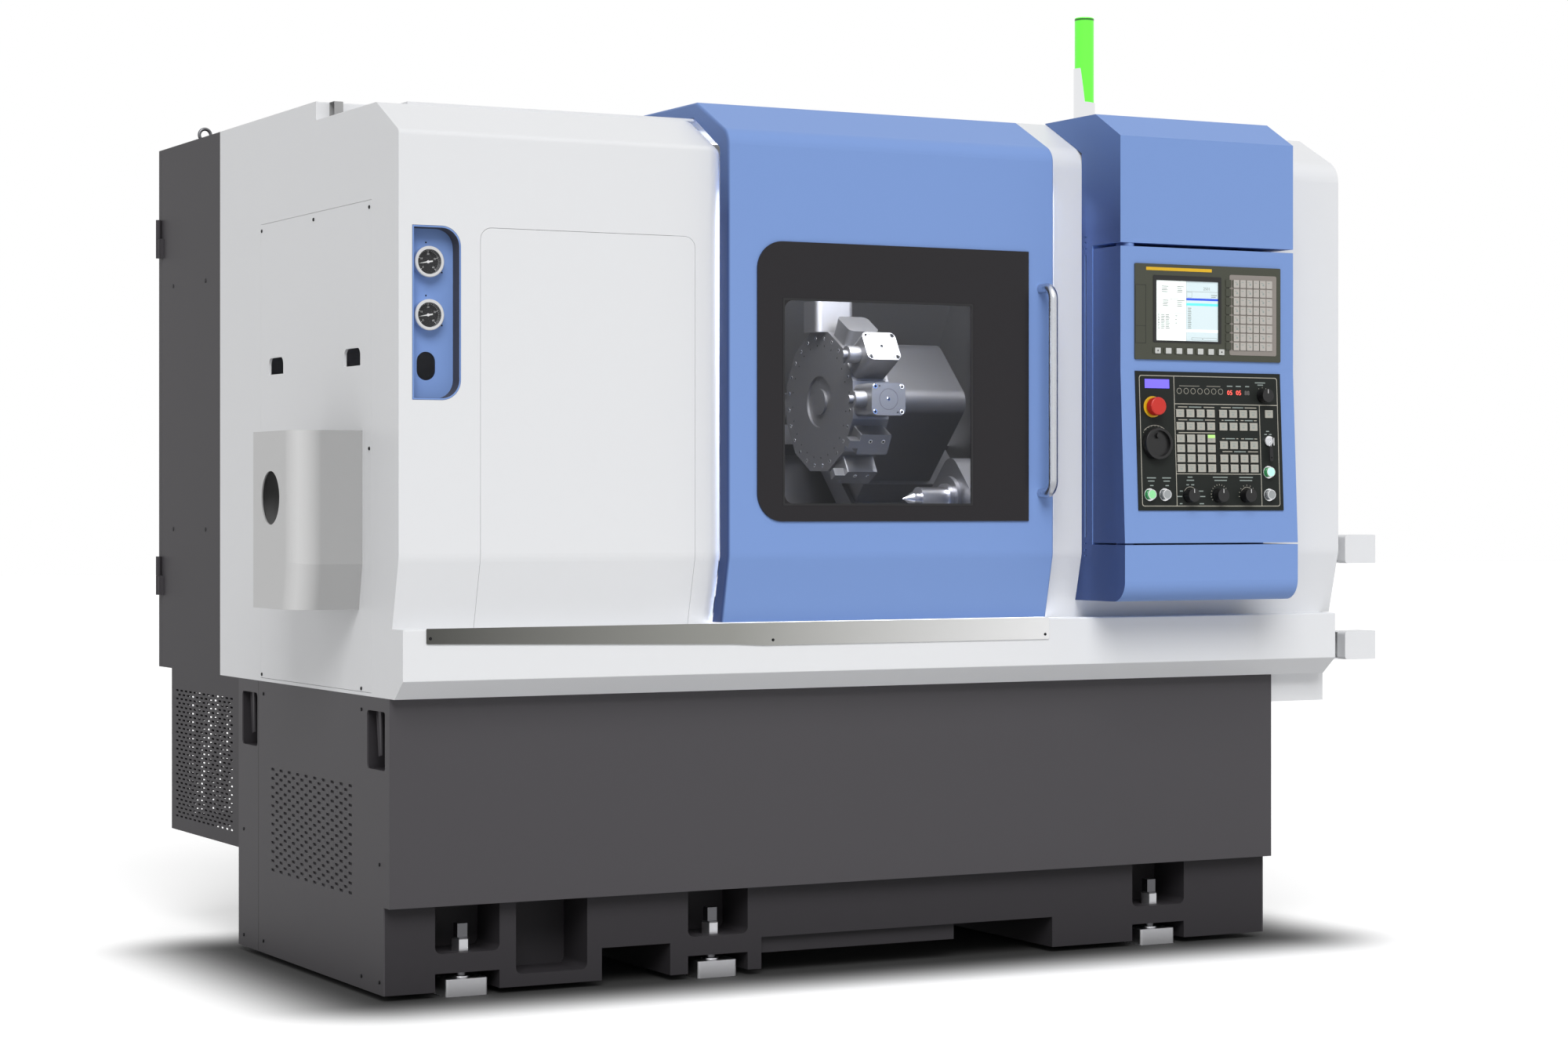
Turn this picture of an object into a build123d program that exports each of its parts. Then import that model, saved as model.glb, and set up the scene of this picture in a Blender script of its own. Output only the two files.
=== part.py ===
from build123d import *

import os
from math import atan, cos, hypot, radians, sin, tan

# Compact turning lathe with a slant bed, a sliding door and a swinging operator station.
# Millimetres, +Z up. Lengths run right from the left side sheet, depths run back from
# the front of the covers, heights run up from the floor.

# Sheet metal and clearances
SHEET = 3.0
SEAM = 0.8
RUN = 0.3
FIT = 0.05
WALL_GAP = 0.5

# White body
BODY_LENGTH = 2346.0
BODY_DEPTH = 1133.6
BODY_BOTTOM = 618.0
COVER_BOTTOM = 760.0
COVER_TUCK = 36.5
KNEE_HEIGHT = 903.0
KNEE_RADIUS = 70.0
SHOULDER_HEIGHT = 1765.7
SHOULDER_RADIUS = 14.0
RIDGE_DEPTH = 125.0
ROOF_HEIGHT = 1834.5
STEP_DEPTH = 485.0
REAR_ROOF_HEIGHT = 1875.0
RIGHT_SHOULDER_HEIGHT = 1799.0
RIGHT_SHOULDER_RADIUS = 55.0
RIGHT_RIDGE_DEPTH = 150.0
RIGHT_ROOF_HEIGHT = 1879.0
COVER_RETURN = 90.0
COVER_END_RADIUS = 35.0

# Skirt under the covers
SKIRT_OUT = 23.3
SKIRT_FOLD_HEIGHT = 656.0
SKIRT_FOOT_DEPTH = 23.0
SKIRT_END_GAP = 27.0
LEDGE_DEPTH = 60.0
CHUTE_DROP = 66.0

# Base casting and its sheets
BASE_LENGTH = 2191.0
BASE_REAR = 1000.0
PLINTH_FRONT = 84.4
PLINTH_TOP = 192.0
BASE_FRONT = 51.8
FLOOR_GAP = 12.0
CASTING_WALL = 40.0

# Recesses of the base front, each from and to along the length
BOLT_POCKET_WIDTH = 143.0
BOLT_POCKET_DEPTH = 120.0
BOLT_POCKET_FLOOR = 90.5
BOLT_POCKET_CENTERS = (183.7, 761.0, 1895.5)
PAD_NOTCH_TOP = 50.0
TOOL_POCKET_LEFT = 292.0
TOOL_POCKET_WIDTH = 162.0
TOOL_POCKET_BOTTOM = 38.0
POCKET_RADIUS = 14.0
FORK_TOP = 80.0
FORK_LEFT = 487.7
FORK_LEFT_WIDTH = 159.7
SPAN_LEFT = 865.6
SPAN_RIGHT = 1357.3
SPAN_WEB_BACK = 16.0
SPAN_WEB_BOTTOM = 44.0
FORK_RIGHT_WIDTH = 249.7

# Levelling bolts and pads
PAD_LENGTH = 94.0
PAD_WIDTH = 72.0
PAD_HEIGHT = 36.0
PAD_RADIUS = 6.0
JACK_DEPTH = 123.0
JACK_RADIUS = 12.0
JACK_TOP = 147.0
JACK_HEAD = 22.0
JACK_HEAD_HEIGHT = 29.0
NUT_FLATS = 32.0
NUT_HEIGHT = 27.0

# Lifting slots and grille of the base sides
LIFT_WIDTH = 105.0
LIFT_FRONT = 74.0
LIFT_REAR_EDGE = 974.0
LIFT_BOTTOM = 470.0
LIFT_TOP = 590.0
LIFT_RECESS = 60.0
LIFT_RADIUS = 10.0
GRILLE_FRONT = 266.0
GRILLE_WIDTH = 504.0
GRILLE_BOTTOM = 200.0
GRILLE_HEIGHT = 229.0
GRILLE_COLUMNS = 9
GRILLE_ROWS = 12
SLOT_LENGTH = 22.0
SLOT_HEIGHT = 6.0

# Side hatch and the end cover of the spindle
HATCH_FRONT = 151.7
HATCH_REAR = 846.5
HATCH_TOP = 1638.0
HATCH_FOOT = 7.0
FINGER_WIDTH = 96.0
FINGER_HEIGHT = 37.0
FINGER_BOTTOM = 1300.0
FINGER_CENTERS = (266.0, 743.5)
FINGER_RADIUS = 16.0
BULGE_DEPTH = 147.0
BULGE_FRONT = 205.0
BULGE_REAR = 464.0
BULGE_BOTTOM = 795.0
BULGE_TOP = 1165.0
BULGE_KNEE = 889.0
BULGE_TUCK = 20.0
BULGE_RADIUS = 60.0
BAR_HOLE_RADIUS = 56.0

# Spindle line, which the bed, chuck and tailstock are set out from
SPINDLE_DEPTH = 355.0
SPINDLE_HEIGHT = 1026.0
SLANT = 45.0

# Left cover openings
ACCESS_LEFT = 177.0
ACCESS_WIDTH = 488.0
ACCESS_TOP = 1576.0
ACCESS_RADIUS = 25.0
ACCESS_TONGUE = (983.0, 1496.0)
GAUGE_LEFT = 29.0
GAUGE_WIDTH = 106.0
GAUGE_BOTTOM = 1223.0
GAUGE_TOP = 1576.0
GAUGE_RECESS = 34.0
GAUGE_CORNER = 42.0
GAUGE_CENTER = 72.0
GAUGE_HEIGHTS = (1503.6, 1396.0)
GAUGE_RADIUS = 31.5
GAUGE_BODY_RADIUS = 27.0
GAUGE_OUT = 20.0
GAUGE_BEHIND = 30.0
PORT_HEIGHT = 1293.0
PORT_WIDTH = 40.0
PORT_LENGTH = 58.0
NEEDLE_LENGTH = 21.0
NEEDLE_TAIL = 10.0
NEEDLE_ANGLE = 100.0
NEEDLE_SPACE = 8.0

# Door, its window and its rail
DOOR_LEFT = 722.0
DOOR_WIDTH = 810.0
DOOR_OUT = 40.0
DOOR_SHOULDER = 1795.0
DOOR_SHOULDER_RADIUS = 40.0
DOOR_RIDGE_DEPTH = 113.0
DOOR_ROOF = 1874.0
DOOR_REAR = 475.0
DOOR_BOTTOM_GAP = 3.0
DOOR_TUCK = 4.0
DOOR_CLEAR = 2.0
DOOR_EDGE_RADIUS = 6.0
JAMB_GAP = 13.0
PANEL_INSET = 68.0
PANEL_WIDTH = 674.0
PANEL_BOTTOM = 976.0
PANEL_TOP = 1570.0
PANEL_CORNER = 60.0
PANEL_THICK = 4.0
GLASS_INSET = 64.0
GLASS_WIDTH = 462.0
GLASS_RISE = 38.0
GLASS_HEIGHT = 432.0
GLASS_CORNER = 22.0
GLASS_LAP = 8.0
GLASS_THICK = 6.0
HANDLE_FROM_EDGE = 34.0
HANDLE_RADIUS = 10.5
HANDLE_OUT = 50.0
HANDLE_BOTTOM = 1027.0
HANDLE_TOP = 1500.0
HANDLE_BEND = 26.0
ROOF_PLATE_LEFT = 69.0
ROOF_PLATE = 5.5
RAIL_DEPTH = 300.0
RAIL_WIDTH = 20.0
RAIL_HEIGHT = 12.0
SHOE_LENGTH = 100.0
SHOE_WALL = 12.0
TRACK_LEFT = 50.0
TRACK_RIGHT = 1528.5
TRACK_TOP = 762.0
TRACK_NARROW = 718.0
TRACK_WIDE = 714.0
TRACK_STEP_FROM = 741.0
TRACK_STEP_TO = 814.0
TRACK_SLIM_LEFT = 731.0

# Operator station
STATION_LEFT = 1631.0
STATION_WIDTH = 468.0
STATION_OUT = 156.0
STATION_LEAN = 18.0
STATION_FOLD = 1310.0
HOUSING_SHOULDER = 1825.0
HOUSING_RIDGE_OUT = 57.0
HOUSING_ROOF = 1881.5
HOUSING_ROOF_DEPTH = 152.0
HOUSING_SKIN = 2.5
HOOD_BOTTOM = 1590.0
SPINE_OUT = 43.0
SWING_TOP = 1582.0
SWING_BOTTOM = 927.0
SWING_BACK_GAP = 5.0
FOOT_TOP = 923.0
FOOT_BOTTOM = 798.0
FOOT_RADIUS = 45.0
PIVOT_INSET = 26.0
PIVOT_BACK = 21.0
PIVOT_RADIUS = 10.0
PIVOT_WASHER = 20.0
PIVOT_GRIP = 12.0
SPINE_SLOT = (-19.0, -13.0)
SPINE_SLOT_PITCH = 13.0
SPINE_SLOTS = 3

# Display unit and operator panel, set out from the station's left side
DISPLAY_INSET = 36.0
DISPLAY_WIDTH = 394.0
DISPLAY_BOTTOM = 1333.0
DISPLAY_HEIGHT = 212.0
DISPLAY_PROUD = 4.0
DISPLAY_BODY = 60.0
DISPLAY_LAP = 10.0
SCREEN_INSET = 92.0
SCREEN_WIDTH = 167.5
SCREEN_RISE = 42.5
SCREEN_HEIGHT = 134.0
SCREEN_SUNK = 2.0
SOFT_KEYS = 7
SOFT_KEY_PITCH = 28.6
SOFT_KEY_SIZE = (14.0, 12.0)
SOFT_KEY_RISE = 20.0
ENTRY_KEYS = (6, 8)
ENTRY_KEY_INSET = 271.0
ENTRY_KEY_RISE = 34.0
ENTRY_KEY_PITCH = (18.0, 20.0)
ENTRY_KEY_SIZE = (15.0, 17.0)
KEY_PROUD = 2.0
DESK_INSET = 37.0
DESK_WIDTH = 392.0
DESK_BOTTOM = 999.0
DESK_TOP = 1307.0
DESK_PROUD = 3.0
DESK_LAP = 10.0
DESK_KEY_SIZE = (20.6, 17.1)
DESK_KEY_PITCH = 27.5
DESK_KEY_LEFT = (152.0, 268.0)
DESK_KEY_ROWS_LEFT = (1215.0, 1186.5, 1159.0, 1137.0, 1115.0, 1093.0)
DESK_KEY_ROWS_RIGHT = (1215.0, 1186.5, 1145.0, 1115.0, 1093.0)

# Controls of the operator panel, as distance from the station's left side and height
STOP_AT = (80.0, 1228.0)
STOP_RADIUS = 20.0
STOP_STEM = 12.0
STOP_TALL = 24.0
STOP_TRAVEL = 5.0
WHEEL_AT = (85.0, 1146.0)
WHEEL_RADIUS = 35.0
WHEEL_TALL = 16.0
KNOB_RADIUS = 15.0
KNOB_TALL = 22.0
OVERRIDE_AT = (379.0, 1256.0)
SELECTORS_AT = ((171.0, 1032.0), (250.0, 1032.0), (325.0, 1032.0))
KEY_SWITCH_AT = (391.0, 1155.0)
KEY_SWITCH_RADIUS = 11.0
BUTTONS_AT = ((66.0, 1034.0), (106.0, 1034.0), (389.0, 1085.0), (389.0, 1034.0))
BUTTON_RADIUS = 11.0
BUTTON_STEM = 8.0
BUTTON_TALL = 9.0
BUTTON_TRAVEL = 3.0
CONTROL_SHAFT = 4.0
CONTROL_SHAFT_IN = 16.0

# Electrical cabinet behind the body
CABINET_LENGTH = 1150.0
CABINET_DEPTH = 471.0
CABINET_SHEET = 2.5
CABINET_DOOR = 20.0
HINGE_RADIUS = 6.0
HINGE_OUT = 7.0
HINGE_HEIGHT = 93.0
HINGE_BOTTOMS = (793.0, 1612.0)
CABINET_DOOR_GAP = 1.0
SWITCH_HEIGHT = 1250.0
SWITCH_FROM_EDGE = 90.0
SWITCH_RADIUS = 30.0
SWITCH_TALL = 28.0
EYE_INSET = 40.0
EYE_RING = 14.0
EYE_WIRE = 4.0
EYE_COLLAR = 9.0
GUARD_LENGTH = 520.0
GUARD_DEPTH = 502.0
GUARD_BOTTOM = 232.0
GUARD_SLOTS = (6, 16)
GUARD_MARGIN = 45.0

# Signal lamp and end brackets
LAMP_LEFT = 1834.0
LAMP_DEPTH = 300.0
LAMP_RADIUS = 22.5
LAMP_BOTTOM = 1952.0
LAMP_TOP = 2156.0
HOLDER_WALL = 2.5
HOLDER_TOP = 2036.0
MOUTH_SHARE = 0.8
BRACKET_END = 132.0
BRACKET_FRONT = 30.0
BRACKET_PLATE = 89.0
BRACKET_HEIGHT = 67.0
BRACKET_BOTTOMS = (647.0, 874.0)
BRACKET_DEEP = 30.0
BRACKET_CORNER = 8.0

# Bed, headstock and chuck, with offsets square to the slanted ways
WAY_TOP = -262.0
BED_TOP = -300.0
BED_LEFT = 300.0
BED_RIGHT = 2150.0
BED_BACK = 990.0
BED_LOW = -265.0
BED_HIGH = 560.0
TAIL_WAYS = (-225.0, -55.0)
SADDLE_WAYS = (60.0, 450.0)
WAY_WIDTH = 50.0
HEAD_LEFT = 330.0
HEAD_RIGHT = 620.0
HEAD_HALF = 150.0
HEAD_TOP = 120.0
SPINDLE_LEFT = -60.0
SPINDLE_RADIUS = 65.0
SPINDLE_TAIL_RADIUS = 40.0
SPINDLE_BORE = 26.0
CYLINDER_RADIUS = 85.0
CYLINDER_LENGTH = 150.0
CHUCK_LEFT = 690.0
CHUCK_LENGTH = 90.0
CHUCK_RADIUS = 105.0
JAW_WIDTH = 32.0
JAW_STEPS = ((100.0, 24.0), (72.0, 48.0))
JAW_BOTTOM = 40.0
JAW_KEY = 8.0

# Turret and its slides
TURRET_LEFT = 1278.0
TURRET_LENGTH = 95.0
TURRET_RADIUS = 168.0
TURRET_OFFSET = 322.0
TURRET_STATIONS = 12
TURRET_SHAFT = 60.0
BLOCK_LENGTH = 88.0
BLOCK_WIDTH = 74.0
BLOCK_HEIGHT = 72.0
BLOCK_AT = 12.0
NOSE_RADIUS = 19.5
NOSE_LENGTH = 42.0
NOSE_OUT = 45.0
TALL_BLOCK_OUT = 26.0
CAP_SUNK = 6.0
HOLDER_LENGTH = 80.0
HOLDER_WIDTH = 52.0
HOLDER_HEIGHT = 44.0
TOOL_SIZE = 20.0
TOOL_REACH = 26.0
HOUSING_GAP = 12.0
HOUSING_LENGTH = 210.0
HOUSING_HALF = 110.0
SADDLE_LENGTH = 300.0
SADDLE_LOW = 40.0
SADDLE_HIGH = 520.0
SADDLE_TOP = -210.0
SLIDE_TOP = -150.0
SLIDE_LOW = 200.0
SLIDE_HIGH = 450.0

# Tailstock
CENTER_TIP = 1372.0
CENTER_ANGLE = 60.0
CENTER_RADIUS = 27.0
CENTER_NECK_RADIUS = 15.0
CENTER_NECK_END = 1412.0
QUILL_RADIUS = 35.0
QUILL_OUT = 20.0
QUILL_LENGTH = 230.0
TAIL_LEFT = 1500.0
TAIL_LENGTH = 250.0
TAIL_NOSE = 52.0
TAIL_HALF = 78.0
TAIL_BASE_LOW = -240.0
TAIL_BASE_HIGH = 20.0
CENTER_SHANK = 12.0
CENTER_SHANK_LENGTH = 40.0

# Guards inside the work chamber
CHAMBER_RIGHT = 1800.0
CHAMBER_LEFT = 640.0
GUARD_TOP_DEPTH = 852.0
GUARD_TOP_HEIGHT = 1507.0
GUARD_FALL = 1.78
GUARD_FOOT_HEIGHT = 1169.0
WALL_TOP = 1822.0
WALL_SHOULDER = 1780.0
WALL_RIDGE_DEPTH = 130.0

# The origin lies on the floor under the middle of the whole machine
LEAN = atan(STATION_LEAN / (STATION_FOLD - SWING_BOTTOM))
KNOB_DROP = (STATION_FOLD - SELECTORS_AT[0][1]) * tan(LEAN) + KNOB_RADIUS * sin(LEAN)
CONTROL_REACH = STATION_OUT + KNOB_DROP + (DESK_PROUD + RUN + KNOB_TALL) * cos(LEAN)
LEFT = (BULGE_DEPTH - BODY_LENGTH - BRACKET_END) / 2
MACHINE_REAR = BODY_DEPTH + CABINET_DEPTH + SWITCH_TALL
FRONT = (CONTROL_REACH - MACHINE_REAR) / 2


def side_plane(x):
    """Upright plane facing right, drawn in depth and height."""
    return Plane(origin=(LEFT + x, FRONT, 0), x_dir=(0, 1, 0), z_dir=(1, 0, 0))


def front_plane(y):
    """Upright plane facing the operator, drawn in length and height."""
    return Plane(origin=(LEFT, FRONT + y, 0), x_dir=(1, 0, 0), z_dir=(0, -1, 0))


def floor_plane(z):
    """Level plane, drawn in length and depth."""
    return Plane(origin=(LEFT, FRONT, z), x_dir=(1, 0, 0), z_dir=(0, 0, 1))


def slant_plane(x):
    """Plane across the spindle, drawn up the slant of the bed and square to it."""
    origin = (LEFT + x, FRONT + SPINDLE_DEPTH, SPINDLE_HEIGHT)
    slope = (0, cos(radians(SLANT)), sin(radians(SLANT)))
    return Plane(origin=origin, x_dir=slope, z_dir=(1, 0, 0))


def desk_plane(proud=0.0):
    """The leaning face of the station, drawn from its left side and down from its fold."""
    fold = (LEFT + STATION_LEFT, FRONT - STATION_OUT, STATION_FOLD)
    face = Plane(origin=fold, x_dir=(1, 0, 0), z_dir=(0, -cos(LEAN), sin(LEAN)))
    return face.offset(proud)


def desk_point(place):
    """A control's place on the leaning face from its distance and height."""
    along, height = place
    return along, (height - STATION_FOLD) / cos(LEAN)


def block(x, y, z, mode=Mode.ADD):
    """A block given by its (from, to) pairs along length, depth and height."""
    with Locations((LEFT + x[0], FRONT + y[0], z[0])):
        Box(x[1] - x[0], y[1] - y[0], z[1] - z[0], align=(Align.MIN,) * 3, mode=mode)


def outline(plane, points, radii=0.0):
    """A closed outline on a plane, each corner with its own radius."""
    with BuildSketch(plane) as drawn:
        with BuildLine():
            FilletPolyline(*points, radius=radii, close=True)
        make_face()
    return drawn.sketch


def prism(points, x, radii=0.0, mode=Mode.ADD):
    """A side outline carried along the length from x[0] to x[1]."""
    extrude(outline(side_plane(x[0]), points, radii), amount=x[1] - x[0], mode=mode)


def shifted(points, distance):
    """A folded line moved towards its right hand by a distance, corners kept sharp."""
    moved = []
    for (y0, z0), (y1, z1) in zip(points, points[1:]):
        length = hypot(y1 - y0, z1 - z0)
        across = ((z1 - z0) / length * distance, (y0 - y1) / length * distance)
        moved.append(((y0 + across[0], z0 + across[1]), (y1 + across[0], z1 + across[1])))
    corners = [moved[0][0]]
    for ((a, b), (c, d)), ((e, f), (g, h)) in zip(moved, moved[1:]):
        turn = (c - a) * (h - f) - (d - b) * (g - e)
        share = ((e - a) * (h - f) - (f - b) * (g - e)) / turn
        corners.append((a + share * (c - a), b + share * (d - b)))
    return corners + [moved[-1][1]]


def folded(points, x, radii, thick=SHEET):
    """A sheet folded along a side outline, with its bend radii, over a length."""
    inner = [max(radius - thick, 0.0) if radius else 0.0 for radius in radii]
    both = list(points) + shifted(points, thick)[::-1]
    prism(both, x, radii=list(radii) + inner[::-1])


def front_window(x, z, deep, corners, mode=Mode.SUBTRACT, plane=None):
    """A front outline with its own corner radii, cut back from its plane."""
    points = ((x[0], z[0]), (x[1], z[0]), (x[1], z[1]), (x[0], z[1]))
    extrude(outline(plane or front_plane(deep[0]), points, corners), amount=deep[0] - deep[1],
            mode=mode)


def turned(plane, radius, length, mode=Mode.ADD, at=(0, 0), bore=0.0):
    """A round bar or ring standing on a plane."""
    with BuildSketch(plane) as circle:
        with Locations(at):
            Circle(radius)
            if bore:
                Circle(bore, mode=Mode.SUBTRACT)
    extrude(circle.sketch, amount=length, mode=mode)


def save(piece, name):
    """Labels a finished piece and writes its file."""
    shape = getattr(piece, "part", piece)
    shape.label = name
    export_step(shape, f"parts/{name}.step")


os.makedirs("parts", exist_ok=True)

# Side outlines that several pieces share, each from the lower front to the upper rear
COVER_LINE = (
    (COVER_TUCK, COVER_BOTTOM), (0, KNEE_HEIGHT), (0, SHOULDER_HEIGHT),
    (RIDGE_DEPTH, ROOF_HEIGHT), (STEP_DEPTH, ROOF_HEIGHT),
)
COVER_RADII = (0, KNEE_RADIUS, SHOULDER_RADIUS, SHOULDER_RADIUS, 0)
RIGHT_LINE = (
    (COVER_TUCK, COVER_BOTTOM), (0, KNEE_HEIGHT), (0, RIGHT_SHOULDER_HEIGHT),
    (RIGHT_RIDGE_DEPTH, RIGHT_ROOF_HEIGHT), (STEP_DEPTH, RIGHT_ROOF_HEIGHT),
)
RIGHT_RADII = (0, KNEE_RADIUS, RIGHT_SHOULDER_RADIUS, SHOULDER_RADIUS, 0)
SKIRT_LINE = (
    (PLINTH_FRONT, BODY_BOTTOM), (SKIRT_FOOT_DEPTH, BODY_BOTTOM),
    (-SKIRT_OUT, SKIRT_FOLD_HEIGHT), (-SKIRT_OUT, COVER_BOTTOM),
    (LEDGE_DEPTH, COVER_BOTTOM),
)
DOOR_LINE = (
    (COVER_TUCK - DOOR_OUT - DOOR_TUCK, COVER_BOTTOM + DOOR_BOTTOM_GAP),
    (-DOOR_OUT, KNEE_HEIGHT),
    (-DOOR_OUT, DOOR_SHOULDER), (DOOR_RIDGE_DEPTH, DOOR_ROOF), (DOOR_REAR, DOOR_ROOF),
)
DOOR_RADII = (0, KNEE_RADIUS, DOOR_SHOULDER_RADIUS, SHOULDER_RADIUS, 0)


# Base of cast sections that stand face to face: feet, legs, bridges, walls, ribs and a deck
LIFT_FRONTS = (LIFT_FRONT, LIFT_REAR_EDGE - LIFT_WIDTH)
BASE_INSIDE = (SHEET, BASE_LENGTH - SHEET)
BASE_Y = (PLINTH_FRONT, BASE_REAR)
FEET_Y = (PLINTH_FRONT + BOLT_POCKET_DEPTH, BASE_REAR - BOLT_POCKET_DEPTH)
FORK_RIGHT_EDGE = SPAN_RIGHT + FORK_RIGHT_WIDTH
LEGS = ((BASE_INSIDE[0], FORK_LEFT), (FORK_LEFT + FORK_LEFT_WIDTH, SPAN_LEFT),
        (FORK_RIGHT_EDGE, BASE_INSIDE[1]))
sections = []


def section(x, y, z):
    """One plain section of the base, kept as a solid of its own."""
    with BuildPart() as plain:
        block(x, y, z)
    sections.extend(plain.solids())


for leg, center in zip(LEGS, BOLT_POCKET_CENTERS):
    section(leg, FEET_Y, (FLOOR_GAP, PLINTH_TOP))
    pocket = (center - BOLT_POCKET_WIDTH / 2, center + BOLT_POCKET_WIDTH / 2)
    for face, inner, back in (BASE_Y[0], FEET_Y[0], 1), (BASE_Y[1], FEET_Y[1], -1):
        reach = (min(face, inner), max(face, inner))
        with BuildPart() as foot:
            block(leg, reach, (FLOOR_GAP, PLINTH_TOP))
            front_window(pocket, (BOLT_POCKET_FLOOR, PLINTH_TOP), reach,
                         (POCKET_RADIUS, POCKET_RADIUS, 0, 0))
            block(pocket, reach, (0, PAD_NOTCH_TOP), Mode.SUBTRACT)
            turned(floor_plane(0), JACK_RADIUS + FIT, PLINTH_TOP, Mode.SUBTRACT,
                   (center, face + back * (JACK_DEPTH - PLINTH_FRONT)))
            if leg is LEGS[0] and back > 0:
                front_window((TOOL_POCKET_LEFT, TOOL_POCKET_LEFT + TOOL_POCKET_WIDTH),
                             (TOOL_POCKET_BOTTOM, PLINTH_TOP), reach,
                             (POCKET_RADIUS, POCKET_RADIUS, 0, 0))
        sections.extend(foot.solids())
section((LEGS[0][1], LEGS[1][0]), BASE_Y, (FORK_TOP, PLINTH_TOP))
section((SPAN_RIGHT, FORK_RIGHT_EDGE), BASE_Y, (FORK_TOP, PLINTH_TOP))
section((SPAN_LEFT, SPAN_RIGHT), (BASE_Y[0], BASE_Y[0] + SPAN_WEB_BACK), (FORK_TOP, PLINTH_TOP))
section((SPAN_LEFT, SPAN_RIGHT), (BASE_Y[0] + SPAN_WEB_BACK, BASE_Y[1]),
        (SPAN_WEB_BOTTOM, PLINTH_TOP))

WALL_Z = (PLINTH_TOP, LIFT_TOP)
RIB_HALF = CASTING_WALL / 2
ends = (LIFT_RECESS, LIFT_RECESS + RIB_HALF)
for outer, recess, inner in ((SHEET, SHEET + ends[0], SHEET + ends[1]),
                             (BASE_LENGTH - SHEET, BASE_LENGTH - SHEET - ends[0],
                              BASE_LENGTH - SHEET - ends[1])):
    wall = (min(outer, inner), max(outer, inner))
    plate = (min(recess, inner), max(recess, inner))
    section(wall, BASE_Y, (PLINTH_TOP, LIFT_BOTTOM))
    section(wall, (LIFT_FRONT + LIFT_WIDTH, LIFT_FRONTS[1]), (LIFT_BOTTOM, LIFT_TOP))
    section(wall, (LIFT_REAR_EDGE, BASE_REAR), (LIFT_BOTTOM, LIFT_TOP))
    section(plate, (PLINTH_FRONT, LIFT_FRONT + LIFT_WIDTH), (LIFT_BOTTOM, LIFT_TOP))
    section(plate, (LIFT_FRONTS[1], LIFT_REAR_EDGE), (LIFT_BOTTOM, LIFT_TOP))
between = (SHEET + ends[1], BASE_LENGTH - SHEET - ends[1])
section(between, (BASE_Y[0], BASE_Y[0] + CASTING_WALL), WALL_Z)
section(between, (BASE_Y[1] - CASTING_WALL, BASE_Y[1]), WALL_Z)
for middle in (FORK_LEFT, SPAN_LEFT, SPAN_RIGHT):
    section((middle - RIB_HALF, middle + RIB_HALF),
            (BASE_Y[0] + CASTING_WALL, BASE_Y[1] - CASTING_WALL), WALL_Z)
section(BASE_INSIDE, BASE_Y, (LIFT_TOP, BODY_BOTTOM))
save(Compound(sections), "bed_casting")

JACKS_AT = [(center, JACK_DEPTH) for center in BOLT_POCKET_CENTERS]
JACKS_AT += [(center, BASE_REAR + PLINTH_FRONT - JACK_DEPTH) for center in BOLT_POCKET_CENTERS]

with BuildPart() as levelling_pads:
    for place in JACKS_AT:
        with BuildSketch(floor_plane(0)) as foot:
            with Locations(place):
                RectangleRounded(PAD_LENGTH, PAD_WIDTH, PAD_RADIUS)
        extrude(foot.sketch, amount=PAD_HEIGHT)
        turned(floor_plane(PAD_HEIGHT), JACK_RADIUS + FIT, -PAD_HEIGHT / 2, Mode.SUBTRACT, place)
save(levelling_pads, "levelling_pads")

with BuildPart() as jack_bolts:
    for place in JACKS_AT:
        stem = JACK_TOP - JACK_HEAD_HEIGHT - PAD_HEIGHT / 2
        turned(floor_plane(PAD_HEIGHT / 2), JACK_RADIUS, stem, at=place)
        with BuildSketch(floor_plane(JACK_TOP)) as head:
            with Locations(place):
                Rectangle(JACK_HEAD, JACK_HEAD)
        extrude(head.sketch, amount=-JACK_HEAD_HEIGHT)
        with BuildSketch(floor_plane(BOLT_POCKET_FLOOR)) as nut:
            with Locations(place):
                RegularPolygon(NUT_FLATS / 2, 6, major_radius=False)
        extrude(nut.sketch, amount=NUT_HEIGHT)
save(jack_bolts, "jack_bolts")

# Dark front sheet of the base, folded back to the casting all round
with BuildPart() as base_front_panel:
    block(BASE_INSIDE, (BASE_FRONT, PLINTH_FRONT), (PLINTH_TOP, BODY_BOTTOM))
    block((SHEET * 2, BASE_LENGTH - SHEET * 2), (BASE_FRONT + SHEET, PLINTH_FRONT),
          (PLINTH_TOP + SHEET, BODY_BOTTOM - SHEET), Mode.SUBTRACT)
save(base_front_panel, "base_front_panel")

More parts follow.
